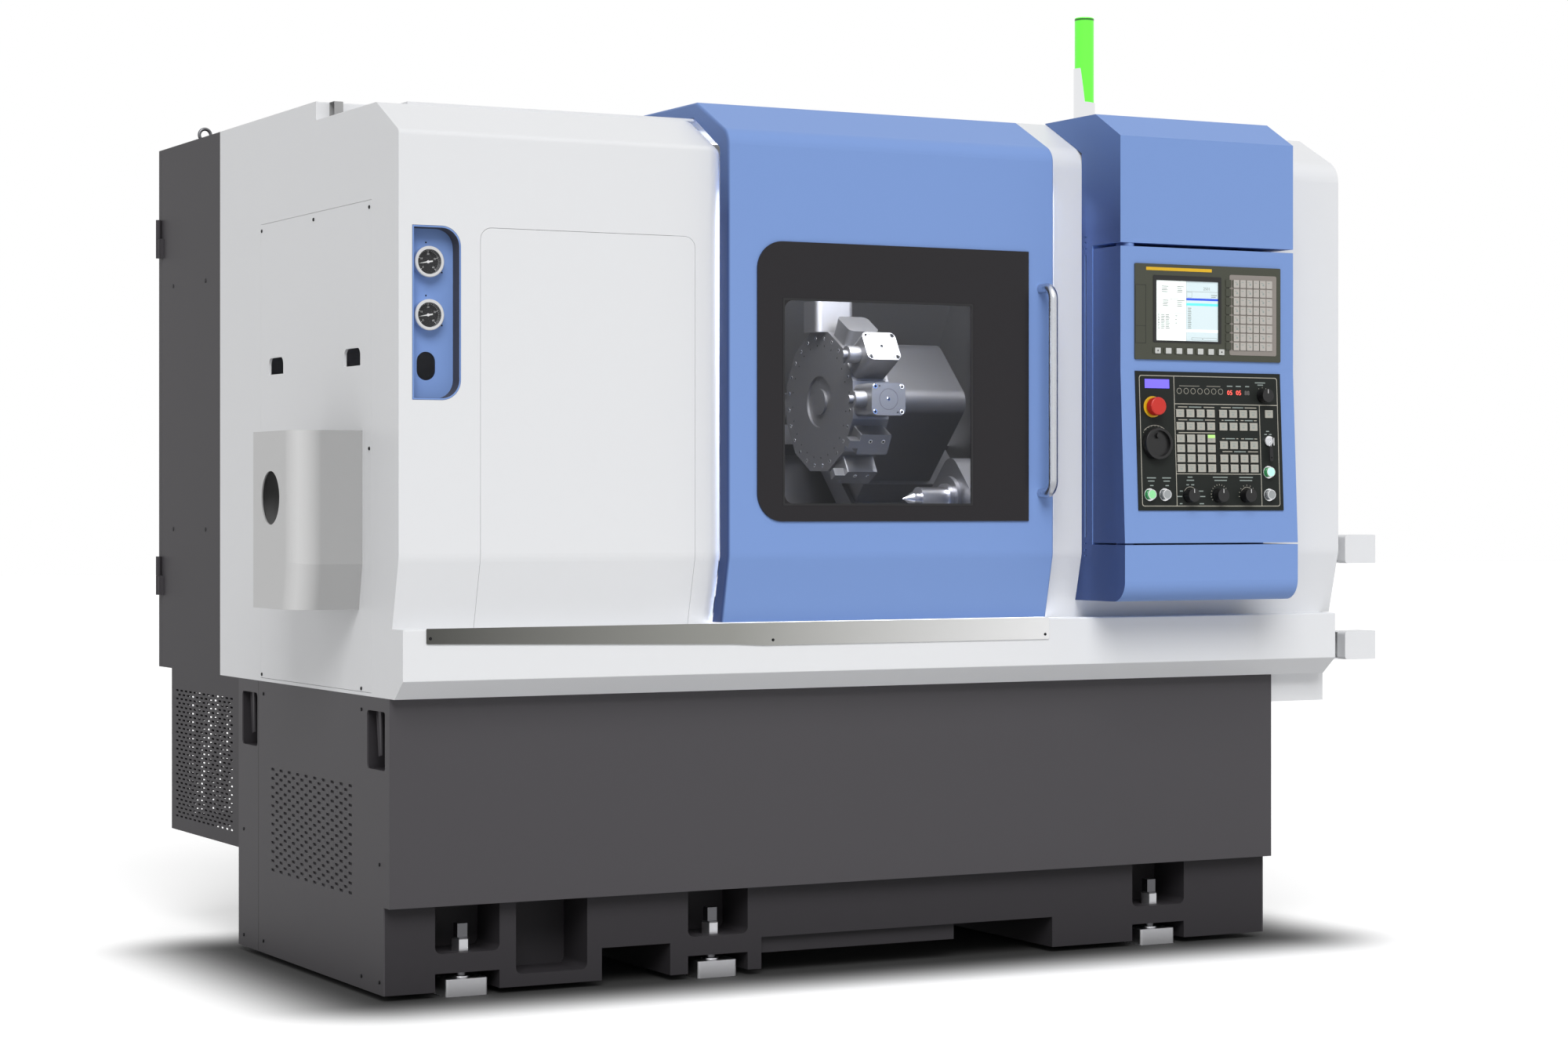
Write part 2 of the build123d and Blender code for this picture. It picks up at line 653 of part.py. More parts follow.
# Side sheets of the base, with staggered slots and the mouths of the lifting slots
with BuildPart() as base_side_panels:
    for left in (0, BASE_LENGTH - SHEET):
        side = (left, left + SHEET)
        prism(((BASE_FRONT, PLINTH_TOP), (PLINTH_FRONT, PLINTH_TOP),
               (PLINTH_FRONT, FLOOR_GAP), (BASE_REAR, FLOOR_GAP),
               (BASE_REAR, BODY_BOTTOM), (BASE_FRONT, BODY_BOTTOM)), side)
        for start in LIFT_FRONTS:
            mouth = ((start, LIFT_BOTTOM), (start + LIFT_WIDTH, LIFT_BOTTOM),
                     (start + LIFT_WIDTH, LIFT_TOP), (start, LIFT_TOP))
            prism(mouth, side, LIFT_RADIUS, Mode.SUBTRACT)
    column = GRILLE_WIDTH / GRILLE_COLUMNS
    row = GRILLE_HEIGHT / GRILLE_ROWS
    with BuildSketch(side_plane(0)) as slots:
        for line in range(GRILLE_ROWS):
            shift = column / 2 if line % 2 else 0
            for place in range(GRILLE_COLUMNS - line % 2):
                y = GRILLE_FRONT + column / 2 + shift + place * column
                with Locations((y, GRILLE_BOTTOM + row / 2 + line * row)):
                    SlotOverall(SLOT_LENGTH, SLOT_HEIGHT)
    extrude(slots.sketch, amount=SHEET, mode=Mode.SUBTRACT)
save(base_side_panels, "base_side_panels")

# White skirt with the ledge that the covers stand on, and its chute box at the right
SKIRT_RIGHT = BODY_LENGTH - SKIRT_END_GAP
with BuildPart() as skirt_tray:
    folded(SKIRT_LINE, (SHEET, SKIRT_RIGHT), (0, 0, SHEET, SHEET, 0))
    block((BASE_LENGTH, BODY_LENGTH), (LEDGE_DEPTH, BASE_REAR - CASTING_WALL),
          (BODY_BOTTOM - CHUTE_DROP, BODY_BOTTOM))
    block((BASE_LENGTH + SHEET, BODY_LENGTH - SHEET),
          (LEDGE_DEPTH + SHEET, BASE_REAR - CASTING_WALL - SHEET),
          (BODY_BOTTOM - CHUTE_DROP + SHEET, BODY_BOTTOM), Mode.SUBTRACT)
save(skirt_tray, "skirt_tray")


# White left side sheet, from the skirt to the rear hood, with the mouth of the hatch
HATCH_LINE = (
    (HATCH_FRONT, BODY_BOTTOM + HATCH_FOOT), (HATCH_REAR, BODY_BOTTOM + HATCH_FOOT),
    (HATCH_REAR, HATCH_TOP), (HATCH_FRONT, HATCH_TOP),
)


def side_line(front_line):
    """The whole side of the white body: skirt, cover, rear hood and foot."""
    skirt = list(SKIRT_LINE[1:4]) + [(front_line[0][0], COVER_BOTTOM)]
    rear = [(STEP_DEPTH, front_line[-1][1]), (STEP_DEPTH, REAR_ROOF_HEIGHT),
            (BODY_DEPTH, REAR_ROOF_HEIGHT), (BODY_DEPTH, BODY_BOTTOM)]
    return skirt + list(front_line[1:4]) + rear


with BuildPart() as left_side_panel:
    bends = [0, 0, 0, 0, KNEE_RADIUS, SHOULDER_RADIUS, SHOULDER_RADIUS, 0, 0, 0, 0]
    prism(side_line(COVER_LINE), (0, SHEET), bends)
    prism(HATCH_LINE, (0, SHEET), 0, Mode.SUBTRACT)
save(left_side_panel, "left_side_panel")

# Flush hatch with two finger cut-outs, held by a lip behind the side sheet
with BuildPart() as side_hatch:
    hatch_y = (HATCH_FRONT + SEAM, HATCH_REAR - SEAM)
    hatch_z = (BODY_BOTTOM + HATCH_FOOT + SEAM, HATCH_TOP - SEAM)
    block((0, SHEET), hatch_y, hatch_z)
    block((SHEET, SHEET * 2), (HATCH_FRONT - SHEET * 4, HATCH_REAR + SHEET * 4),
          (hatch_z[0], HATCH_TOP + SHEET * 4))
    for center in FINGER_CENTERS:
        y = (center - FINGER_WIDTH / 2, center + FINGER_WIDTH / 2)
        z = (FINGER_BOTTOM, FINGER_BOTTOM + FINGER_HEIGHT)
        mouth = ((y[0], z[0]), (y[1], z[0]), (y[1], z[1]), (y[0], z[1]))
        prism(mouth, (0, SHEET * 2), (0, 0, FINGER_RADIUS, FINGER_RADIUS), Mode.SUBTRACT)
    turned(side_plane(0), CYLINDER_RADIUS + SHEET, SHEET * 2, Mode.SUBTRACT,
           (SPINDLE_DEPTH, SPINDLE_HEIGHT))
save(side_hatch, "side_hatch")

# Boxed end cover over the tail of the spindle, with the hole that bars go in by
with BuildPart() as spindle_end_cover:
    bulge = (
        (BULGE_FRONT + BULGE_TUCK, BULGE_BOTTOM), (BULGE_REAR, BULGE_BOTTOM),
        (BULGE_REAR, BULGE_TOP), (BULGE_FRONT, BULGE_TOP), (BULGE_FRONT, BULGE_KNEE),
    )
    prism(bulge, (-BULGE_DEPTH, 0))
    rim = spindle_end_cover.faces().sort_by(Axis.X)[0].edges()
    fillet(rim.sort_by(Axis.Y)[:2], BULGE_RADIUS)
    offset(amount=-SHEET, openings=spindle_end_cover.faces().sort_by(Axis.X)[-1])
    turned(side_plane(-BULGE_DEPTH), BAR_HOLE_RADIUS, SHEET, Mode.SUBTRACT,
           (SPINDLE_DEPTH, SPINDLE_HEIGHT))
save(spindle_end_cover, "spindle_end_cover")


def hooded(piece, line, radii, x, closed, end_radius):
    """Makes a folded cover, closed at the given ends and open behind and below."""
    rear = line[-1][0]
    prism(list(line) + [(rear, line[0][1])], x, list(radii) + [0])
    for end in closed:
        rim = piece.faces().sort_by(Axis.X)[end].edges()
        fillet(rim.sort_by(Axis.Z)[1:].sort_by(Axis.Y)[:-1], end_radius)
    sides = piece.faces()
    opened = [sides.sort_by(Axis.Y)[-1], sides.sort_by(Axis.Z)[0]]
    opened += [sides.sort_by(Axis.X)[end] for end in (0, -1) if end not in closed]
    offset(amount=-SHEET, openings=opened)


# Left cover with a rolled jamb, the mouth of the access panel and the gauge recess
COVER_RIGHT = DOOR_LEFT + JAMB_GAP
ACCESS = (ACCESS_LEFT, ACCESS_LEFT + ACCESS_WIDTH)
GAUGE_X = (GAUGE_LEFT, GAUGE_LEFT + GAUGE_WIDTH)
COVER_CUT = (-SHEET, LEDGE_DEPTH)
with BuildPart() as left_cover:
    hooded(left_cover, COVER_LINE, COVER_RADII, (SHEET, COVER_RIGHT), (-1,), COVER_END_RADIUS)
    block((COVER_RIGHT - SHEET * 2, COVER_RIGHT), (COVER_RETURN, STEP_DEPTH),
          (COVER_BOTTOM, ROOF_HEIGHT - COVER_END_RADIUS), Mode.SUBTRACT)
    front_window(ACCESS, (COVER_BOTTOM, ACCESS_TOP), COVER_CUT,
                 (0, 0, ACCESS_RADIUS, ACCESS_RADIUS))
    front_window(GAUGE_X, (GAUGE_BOTTOM, GAUGE_TOP), COVER_CUT,
                 (0, GAUGE_CORNER, GAUGE_CORNER, 0))
save(left_cover, "left_cover")

# Access panel in front of the headstock, cut from the same folded line
with BuildPart() as spindle_access_panel:
    folded(COVER_LINE, (ACCESS[0] + SEAM, ACCESS[1] - SEAM), COVER_RADII)
    front_window((ACCESS[0] + SEAM, ACCESS[1] - SEAM), (COVER_BOTTOM, ACCESS_TOP - SEAM),
                 COVER_CUT, (0, 0, ACCESS_RADIUS - SEAM, ACCESS_RADIUS - SEAM),
                 Mode.INTERSECT)
    for edge in (ACCESS[0] - SHEET * 3, ACCESS[1] - SHEET * 5):
        block((edge, edge + SHEET * 8), (SHEET, SHEET * 2), ACCESS_TONGUE)
save(spindle_access_panel, "spindle_access_panel")

# Sunk tray of the pressure gauges, with a slotted port below them
with BuildPart() as gauge_tray:
    tray_x = (GAUGE_X[0] + SEAM, GAUGE_X[1] - SEAM)
    tray_z = (GAUGE_BOTTOM + SEAM, GAUGE_TOP - SEAM)
    corner = GAUGE_CORNER - SEAM
    front_window(tray_x, tray_z, (0, GAUGE_RECESS + SHEET), (0, corner, corner, 0), Mode.ADD)
    front_window((tray_x[0] + SHEET, tray_x[1] - SHEET), (tray_z[0] + SHEET, tray_z[1] - SHEET),
                 (0, GAUGE_RECESS), (0, corner - SHEET, corner - SHEET, 0))
    for height in GAUGE_HEIGHTS:
        turned(front_plane(GAUGE_RECESS), GAUGE_BODY_RADIUS + RUN, -SHEET, Mode.SUBTRACT,
               (GAUGE_CENTER, height))
    with BuildSketch(front_plane(GAUGE_RECESS)) as port:
        with Locations((GAUGE_CENTER, PORT_HEIGHT)):
            SlotOverall(PORT_LENGTH, PORT_WIDTH, rotation=90)
    extrude(port.sketch, amount=-SHEET, mode=Mode.SUBTRACT)
    block((GAUGE_X[0] - SHEET * 3, GAUGE_X[1] + SHEET * 3), (SHEET, SHEET * 2),
          (GAUGE_BOTTOM - SHEET * 3, GAUGE_TOP + SHEET * 3))
    front_window((tray_x[0] + SHEET, tray_x[1] - SHEET), (tray_z[0] + SHEET, tray_z[1] - SHEET),
                 (0, GAUGE_RECESS), (0, corner - SHEET, corner - SHEET, 0))
save(gauge_tray, "gauge_tray")

# Gauge cases: a cup through the tray with a rim in front of it and a dial floor
with BuildPart() as gauge_cases:
    for height in GAUGE_HEIGHTS:
        center = (GAUGE_CENTER, height)
        turned(front_plane(GAUGE_RECESS + GAUGE_BEHIND), GAUGE_BODY_RADIUS,
               GAUGE_BEHIND + GAUGE_OUT, at=center)
        turned(front_plane(GAUGE_RECESS), GAUGE_RADIUS, GAUGE_OUT, at=center)
        turned(front_plane(GAUGE_RECESS - GAUGE_OUT), GAUGE_BODY_RADIUS - SHEET / 2,
               -NEEDLE_SPACE, Mode.SUBTRACT, center)
        turned(front_plane(GAUGE_RECESS - GAUGE_OUT), SHEET / 2 + FIT, -NEEDLE_SPACE * 2,
               Mode.SUBTRACT, center)
save(gauge_cases, "gauge_cases")

NEEDLE_BACK = GAUGE_RECESS - GAUGE_OUT + NEEDLE_SPACE


def needle(height):
    """A pointer with its tail, its hub and its pin in the dial."""
    center = (GAUGE_CENTER, height)
    turned(front_plane(NEEDLE_BACK - RUN), SHEET, SHEET / 2, at=center)
    turned(front_plane(NEEDLE_BACK + NEEDLE_SPACE / 2), SHEET / 2, NEEDLE_SPACE / 2 + SHEET / 2,
           at=center)
    along = (-sin(radians(NEEDLE_ANGLE)), cos(radians(NEEDLE_ANGLE)))
    shape = ((NEEDLE_LENGTH, 0), (0, SHEET / 2), (-NEEDLE_TAIL, SHEET / 2),
             (-NEEDLE_TAIL, -SHEET / 2), (0, -SHEET / 2))
    points = [(center[0] + out * along[0] - side * along[1],
               center[1] + out * along[1] + side * along[0]) for out, side in shape]
    pointer = outline(front_plane(NEEDLE_BACK - RUN), points)
    extrude(pointer, amount=SHEET / 3)


with BuildPart() as upper_needle:
    needle(GAUGE_HEIGHTS[0])
save(upper_needle, "upper_needle")

with BuildPart() as lower_needle:
    needle(GAUGE_HEIGHTS[1])
save(lower_needle, "lower_needle")

# Right cover, taller than the left one, with its jamb at the door
RIGHT_LEFT = DOOR_LEFT + DOOR_WIDTH + JAMB_GAP
with BuildPart() as right_cover:
    hooded(right_cover, RIGHT_LINE, RIGHT_RADII, (RIGHT_LEFT, BODY_LENGTH - SHEET), (0,),
           SHOULDER_RADIUS)
    block((RIGHT_LEFT, RIGHT_LEFT + SHEET * 2), (COVER_RETURN, STEP_DEPTH),
          (COVER_BOTTOM, RIGHT_ROOF_HEIGHT - SHOULDER_RADIUS), Mode.SUBTRACT)
save(right_cover, "right_cover")

with BuildPart() as right_side_panel:
    upper = list(RIGHT_LINE) + [
        (STEP_DEPTH, REAR_ROOF_HEIGHT), (BODY_DEPTH, REAR_ROOF_HEIGHT),
        (BODY_DEPTH, BODY_BOTTOM), (LEDGE_DEPTH, BODY_BOTTOM), (LEDGE_DEPTH, COVER_BOTTOM),
    ]
    prism(upper, (BODY_LENGTH - SHEET, BODY_LENGTH), list(RIGHT_RADII) + [0] * 5)
save(right_side_panel, "right_side_panel")

# Rear hood: a step up from the covers, the roof and the back wall
with BuildPart() as rear_hood:
    back_line = ((STEP_DEPTH, ROOF_HEIGHT - SHEET), (STEP_DEPTH, REAR_ROOF_HEIGHT),
                 (BODY_DEPTH, REAR_ROOF_HEIGHT), (BODY_DEPTH, BODY_BOTTOM))
    folded(back_line, (SHEET, BODY_LENGTH - SHEET), (0, SHEET, SHEET, 0))
save(rear_hood, "rear_hood")

# Roof plate with the rail that the door hangs on
RAIL_TOP = ROOF_HEIGHT + ROOF_PLATE + RAIL_HEIGHT
RAIL = (RAIL_DEPTH - RAIL_WIDTH / 2, RAIL_DEPTH + RAIL_WIDTH / 2)
with BuildPart() as door_track:
    length = (ROOF_PLATE_LEFT, RIGHT_LEFT - WALL_GAP)
    block(length, (RIDGE_DEPTH + SHEET, STEP_DEPTH - WALL_GAP),
          (ROOF_HEIGHT, ROOF_HEIGHT + ROOF_PLATE))
    block(length, RAIL, (ROOF_HEIGHT + ROOF_PLATE, RAIL_TOP))
save(door_track, "door_track")

# Bright plate along the skirt that keeps the foot of the door in line
with BuildPart() as track_plate:
    shape = (
        (TRACK_LEFT, TRACK_SLIM_LEFT), (TRACK_STEP_FROM, TRACK_NARROW),
        (TRACK_STEP_TO, TRACK_WIDE), (TRACK_RIGHT, TRACK_WIDE),
        (TRACK_RIGHT, TRACK_TOP), (TRACK_LEFT, TRACK_TOP),
    )
    face = outline(front_plane(-SKIRT_OUT), shape, (2, 0, 0, 4, 2, 2))
    extrude(face, amount=SHEET)
save(track_plate, "track_plate")

# Sliding door: folded skin with side flanges that clear the covers, hung on two shoes
DOOR = (DOOR_LEFT, DOOR_LEFT + DOOR_WIDTH)
PANEL = (DOOR_LEFT + PANEL_INSET, DOOR_LEFT + PANEL_INSET + PANEL_WIDTH)
GLASS_X = (PANEL[0] + GLASS_INSET, PANEL[0] + GLASS_INSET + GLASS_WIDTH)
GLASS_Z = (PANEL_BOTTOM + GLASS_RISE, PANEL_BOTTOM + GLASS_RISE + GLASS_HEIGHT)
INNER_LINE = ((COVER_TUCK, COVER_BOTTOM), (0, KNEE_HEIGHT), (0, SHOULDER_HEIGHT),
              (RIDGE_DEPTH, ROOF_HEIGHT + ROOF_PLATE), (STEP_DEPTH, ROOF_HEIGHT + ROOF_PLATE))
with BuildPart() as door_shell:
    hooded(door_shell, DOOR_LINE, DOOR_RADII, DOOR, (0, -1), DOOR_EDGE_RADIUS)
    room = shifted(INNER_LINE, -DOOR_CLEAR)
    room += [(STEP_DEPTH, 0), (COVER_TUCK - DOOR_CLEAR, 0)]
    prism(room, (DOOR[0] - SHEET, DOOR[1] + SHEET), 0, Mode.SUBTRACT)
    block((DOOR[0] - SHEET, DOOR[1] + SHEET), (RAIL[0] - DOOR_CLEAR * 2, RAIL[1] + DOOR_CLEAR * 2),
          (ROOF_HEIGHT, RAIL_TOP + DOOR_CLEAR * 2), Mode.SUBTRACT)
    front_window((GLASS_X[0] - GLASS_LAP - SHEET, GLASS_X[1] + GLASS_LAP + SHEET),
                 (GLASS_Z[0] - GLASS_LAP - SHEET, GLASS_Z[1] + GLASS_LAP + SHEET),
                 (-DOOR_OUT, 0), (SHEET,) * 4)
    for start in (DOOR[0] + SHOE_LENGTH / 2, DOOR[1] - SHOE_LENGTH * 3 / 2):
        shoe = (start, start + SHOE_LENGTH)
        block(shoe, (RAIL[0] - SHOE_WALL, RAIL[1] + SHOE_WALL),
              (RAIL_TOP - RAIL_HEIGHT / 2, DOOR_ROOF - SHEET))
        block(shoe, (RAIL[0] - RUN, RAIL[1] + RUN), (ROOF_HEIGHT, RAIL_TOP + RUN), Mode.SUBTRACT)
save(door_shell, "door_shell")

with BuildPart() as window_panel:
    front_window(PANEL, (PANEL_BOTTOM, PANEL_TOP), (-DOOR_OUT - PANEL_THICK, -DOOR_OUT),
                 (PANEL_CORNER, 0, 0, PANEL_CORNER), Mode.ADD)
    front_window(GLASS_X, GLASS_Z, (-DOOR_OUT - PANEL_THICK, -DOOR_OUT),
                 (GLASS_CORNER, 0, 0, GLASS_CORNER))
save(window_panel, "window_panel")

with BuildPart() as window_glass:
    front_window((GLASS_X[0] - GLASS_LAP, GLASS_X[1] + GLASS_LAP),
                 (GLASS_Z[0] - GLASS_LAP, GLASS_Z[1] + GLASS_LAP),
                 (-DOOR_OUT, -DOOR_OUT + GLASS_THICK), (SHEET,) * 4, Mode.ADD)
save(window_glass, "window_glass")

# Tubular handle, bent back to the door at both ends
with BuildPart() as door_handle:
    grip = Plane(origin=(LEFT + DOOR[1] - HANDLE_FROM_EDGE, FRONT - DOOR_OUT, 0),
                 x_dir=(0, -1, 0), z_dir=(1, 0, 0))
    ends = (HANDLE_BOTTOM + HANDLE_RADIUS, HANDLE_TOP - HANDLE_RADIUS)
    with BuildLine(grip) as route:
        FilletPolyline((0, -ends[0]), (HANDLE_OUT, -ends[0]), (HANDLE_OUT, -ends[1]),
                       (0, -ends[1]), radius=HANDLE_BEND)
    with BuildSketch(Plane(origin=route.line @ 0, z_dir=route.line % 0)) as section:
        Circle(HANDLE_RADIUS)
    sweep(section.sketch, path=route.line)
save(door_handle, "door_handle")

# Fixed housing of the operator station: hood, spine and foot folded as one box
STATION = (STATION_LEFT, STATION_LEFT + STATION_WIDTH)
STATION_FACE = -STATION_OUT
LEAN_FACE = -STATION_OUT - STATION_LEAN
COVER_FACE = -WALL_GAP
with BuildPart() as station_housing:
    rise = (RIGHT_ROOF_HEIGHT - RIGHT_SHOULDER_HEIGHT) / RIGHT_RIDGE_DEPTH
    tuck = COVER_TUCK / (KNEE_HEIGHT - COVER_BOTTOM) * (KNEE_HEIGHT - FOOT_BOTTOM)
    housing = (
        (COVER_FACE, RIGHT_SHOULDER_HEIGHT + WALL_GAP), (COVER_FACE, KNEE_HEIGHT),
        (tuck + COVER_FACE, FOOT_BOTTOM), (LEAN_FACE, FOOT_BOTTOM), (LEAN_FACE, FOOT_TOP),
        (-SPINE_OUT, FOOT_TOP), (-SPINE_OUT, HOOD_BOTTOM), (STATION_FACE, HOOD_BOTTOM),
        (STATION_FACE, HOUSING_SHOULDER), (-HOUSING_RIDGE_OUT, HOUSING_ROOF),
        (HOUSING_ROOF_DEPTH, HOUSING_ROOF),
        (HOUSING_ROOF_DEPTH, RIGHT_SHOULDER_HEIGHT + rise * HOUSING_ROOF_DEPTH + WALL_GAP),
    )
    bends = (0, 0, 0, FOOT_RADIUS, 0, 0, 0, 0, 0, 0, 0, 0)
    prism(housing, STATION, bends)
    hollow_x = (STATION[0] + HOUSING_SKIN, STATION[1] - HOUSING_SKIN)
    hood_line = ((COVER_FACE, HOOD_BOTTOM), (STATION_FACE, HOOD_BOTTOM),
                 (STATION_FACE, HOUSING_SHOULDER), (-HOUSING_RIDGE_OUT, HOUSING_ROOF),
                 (HOUSING_ROOF_DEPTH, HOUSING_ROOF))
    hood_room = shifted(hood_line, HOUSING_SKIN)[:-1]
    prism(hood_room + [(STEP_DEPTH, hood_room[-1][1]), (STEP_DEPTH, HOOD_BOTTOM + HOUSING_SKIN)],
          hollow_x, 0, Mode.SUBTRACT)
    block(hollow_x, (-SPINE_OUT + HOUSING_SKIN, LEDGE_DEPTH),
          (FOOT_TOP - HOUSING_SKIN * 2, HOOD_BOTTOM + HOUSING_SKIN * 2), Mode.SUBTRACT)
    foot_room = ((LEDGE_DEPTH, FOOT_BOTTOM + HOUSING_SKIN),
                 (LEAN_FACE + HOUSING_SKIN, FOOT_BOTTOM + HOUSING_SKIN),
                 (LEAN_FACE + HOUSING_SKIN, FOOT_TOP - HOUSING_SKIN),
                 (LEDGE_DEPTH, FOOT_TOP - HOUSING_SKIN))
    prism(foot_room, hollow_x, (0, FOOT_RADIUS - HOUSING_SKIN, 0, 0), Mode.SUBTRACT)
    pivot = (STATION_LEFT + PIVOT_INSET, STATION_FACE + PIVOT_BACK)
    for start, toward, gap in ((HOOD_BOTTOM, -1, HOOD_BOTTOM - SWING_TOP),
                               (FOOT_TOP, 1, SWING_BOTTOM - FOOT_TOP)):
        turned(floor_plane(start), PIVOT_WASHER, toward * (gap - RUN), at=pivot)
        turned(floor_plane(start - toward * HOUSING_SKIN), PIVOT_RADIUS,
               toward * (gap + PIVOT_GRIP), at=pivot)
    slit = (SWING_BOTTOM + PIVOT_GRIP, SWING_TOP - PIVOT_GRIP)
    block((STATION[0], hollow_x[0]), SPINE_SLOT, slit, Mode.SUBTRACT)
    for step in range(1, SPINE_SLOTS + 1):
        reach = step * SPINE_SLOT_PITCH
        for start in (slit[0] - reach - SHEET, slit[1] + reach):
            block((STATION[0], hollow_x[0]), SPINE_SLOT, (start, start + SHEET), Mode.SUBTRACT)
save(station_housing, "station_housing")

# Swinging box of the station, with the openings of the display and the operator panel
SWING_BACK = -SPINE_OUT - SWING_BACK_GAP
SWING_LINE = (
    (SWING_BACK, SWING_BOTTOM), (LEAN_FACE, SWING_BOTTOM), (STATION_FACE, STATION_FOLD),
    (STATION_FACE, SWING_TOP), (SWING_BACK, SWING_TOP), (SWING_BACK, SWING_BOTTOM),
)
DISPLAY = (STATION_LEFT + DISPLAY_INSET, STATION_LEFT + DISPLAY_INSET + DISPLAY_WIDTH)
DISPLAY_Z = (DISPLAY_BOTTOM, DISPLAY_BOTTOM + DISPLAY_HEIGHT)
DISPLAY_BACK = (DISPLAY[0] + DISPLAY_LAP, DISPLAY[1] - DISPLAY_LAP)
DISPLAY_BACK_Z = (DISPLAY_Z[0] + DISPLAY_LAP, DISPLAY_Z[1] - DISPLAY_LAP)
DESK = (DESK_INSET, DESK_INSET + DESK_WIDTH)
DESK_Z = (desk_point((0, DESK_BOTTOM))[1], desk_point((0, DESK_TOP))[1])


def desk_window(x, z, near, far, mode=Mode.SUBTRACT):
    """A rectangle of the leaning face, carried from near to far behind that face."""
    points = ((x[0], z[0]), (x[1], z[0]), (x[1], z[1]), (x[0], z[1]))
    extrude(outline(desk_plane(-near), points), amount=near - far, mode=mode)


with BuildPart() as swing_box:
    prism(SWING_LINE[:-1], STATION)
    swing_room = shifted(SWING_LINE, HOUSING_SKIN)[1:-1]
    swing_room = [(SWING_BACK - HOUSING_SKIN, SWING_BOTTOM + HOUSING_SKIN)] + swing_room
    prism(swing_room, hollow_x, 0, Mode.SUBTRACT)
    front_window(DISPLAY_BACK, DISPLAY_BACK_Z, (STATION_FACE, STATION_FACE + HOUSING_SKIN),
                 (SHEET,) * 4)
    desk_window((DESK[0] + DESK_LAP, DESK[1] - DESK_LAP),
                (DESK_Z[0] + DESK_LAP, DESK_Z[1] - DESK_LAP), 0, HOUSING_SKIN)
    turned(floor_plane(0), PIVOT_RADIUS + FIT, HOOD_BOTTOM, Mode.SUBTRACT, pivot)
save(swing_box, "swing_box")


def key_field(plane, centers, size, height):
    """Rectangular key caps standing on a face at the given centres."""
    with BuildSketch(plane) as caps:
        with Locations(*centers):
            RectangleRounded(*size, size[1] / 8)
    extrude(caps.sketch, amount=height)


# Display unit: bezel and body, sunk screen, soft keys and entry keys
DISPLAY_FACE = STATION_FACE - DISPLAY_PROUD
with BuildPart() as display_unit:
    front_window(DISPLAY, DISPLAY_Z, (DISPLAY_FACE, STATION_FACE), (SHEET,) * 4, Mode.ADD)
    front_window((DISPLAY_BACK[0] + RUN, DISPLAY_BACK[1] - RUN),
                 (DISPLAY_BACK_Z[0] + RUN, DISPLAY_BACK_Z[1] - RUN),
                 (STATION_FACE, STATION_FACE + DISPLAY_BODY), (SHEET,) * 4, Mode.ADD)
    screen = (STATION_LEFT + SCREEN_INSET, STATION_LEFT + SCREEN_INSET + SCREEN_WIDTH)
    screen_z = (DISPLAY_BOTTOM + SCREEN_RISE, DISPLAY_BOTTOM + SCREEN_RISE + SCREEN_HEIGHT)
    front_window(screen, screen_z, (DISPLAY_FACE, DISPLAY_FACE + SCREEN_SUNK), (0,) * 4)
    soft_left = (screen[0] + screen[1] - (SOFT_KEYS - 1) * SOFT_KEY_PITCH) / 2
    soft = [(soft_left + index * SOFT_KEY_PITCH, DISPLAY_BOTTOM + SOFT_KEY_RISE)
            for index in range(SOFT_KEYS)]
    key_field(front_plane(DISPLAY_FACE), soft, SOFT_KEY_SIZE, KEY_PROUD)
    entry = [(STATION_LEFT + ENTRY_KEY_INSET + ENTRY_KEY_SIZE[0] + column * ENTRY_KEY_PITCH[0],
              DISPLAY_BOTTOM + ENTRY_KEY_RISE + row * ENTRY_KEY_PITCH[1])
             for column in range(ENTRY_KEYS[0]) for row in range(ENTRY_KEYS[1])]
    key_field(front_plane(DISPLAY_FACE), entry, ENTRY_KEY_SIZE, KEY_PROUD)
save(display_unit, "display_unit")

# Operator panel on the leaning face, with its key caps and the bushes of its controls
TURNED_CONTROLS = (WHEEL_AT, OVERRIDE_AT, *SELECTORS_AT, KEY_SWITCH_AT)
with BuildPart() as operator_panel:
    desk_window(DESK, DESK_Z, -DESK_PROUD, 0, Mode.ADD)
    desk_window((DESK[0] + DESK_LAP + RUN, DESK[1] - DESK_LAP - RUN),
                (DESK_Z[0] + DESK_LAP + RUN, DESK_Z[1] - DESK_LAP - RUN),
                0, CONTROL_SHAFT_IN + STOP_TRAVEL, Mode.ADD)
    for left, rows in zip(DESK_KEY_LEFT, (DESK_KEY_ROWS_LEFT, DESK_KEY_ROWS_RIGHT)):
        keys = [desk_point((left + column * DESK_KEY_PITCH, height))
                for column in range(4) for height in rows]
        key_field(desk_plane(DESK_PROUD), keys, DESK_KEY_SIZE, KEY_PROUD)
    for place in TURNED_CONTROLS:
        turned(desk_plane(DESK_PROUD), CONTROL_SHAFT + FIT, -CONTROL_SHAFT_IN, Mode.SUBTRACT,
               desk_point(place))
    for place in BUTTONS_AT:
        turned(desk_plane(DESK_PROUD), BUTTON_RADIUS + SHEET, KEY_PROUD, at=desk_point(place))
        turned(desk_plane(DESK_PROUD * 2), BUTTON_STEM + FIT, -CONTROL_SHAFT_IN, Mode.SUBTRACT,
               desk_point(place))
    turned(desk_plane(DESK_PROUD), STOP_RADIUS + KEY_PROUD, KEY_PROUD, at=desk_point(STOP_AT))
    turned(desk_plane(DESK_PROUD * 2), STOP_STEM + FIT, -CONTROL_SHAFT_IN - DESK_PROUD,
           Mode.SUBTRACT, desk_point(STOP_AT))
save(operator_panel, "operator_panel")


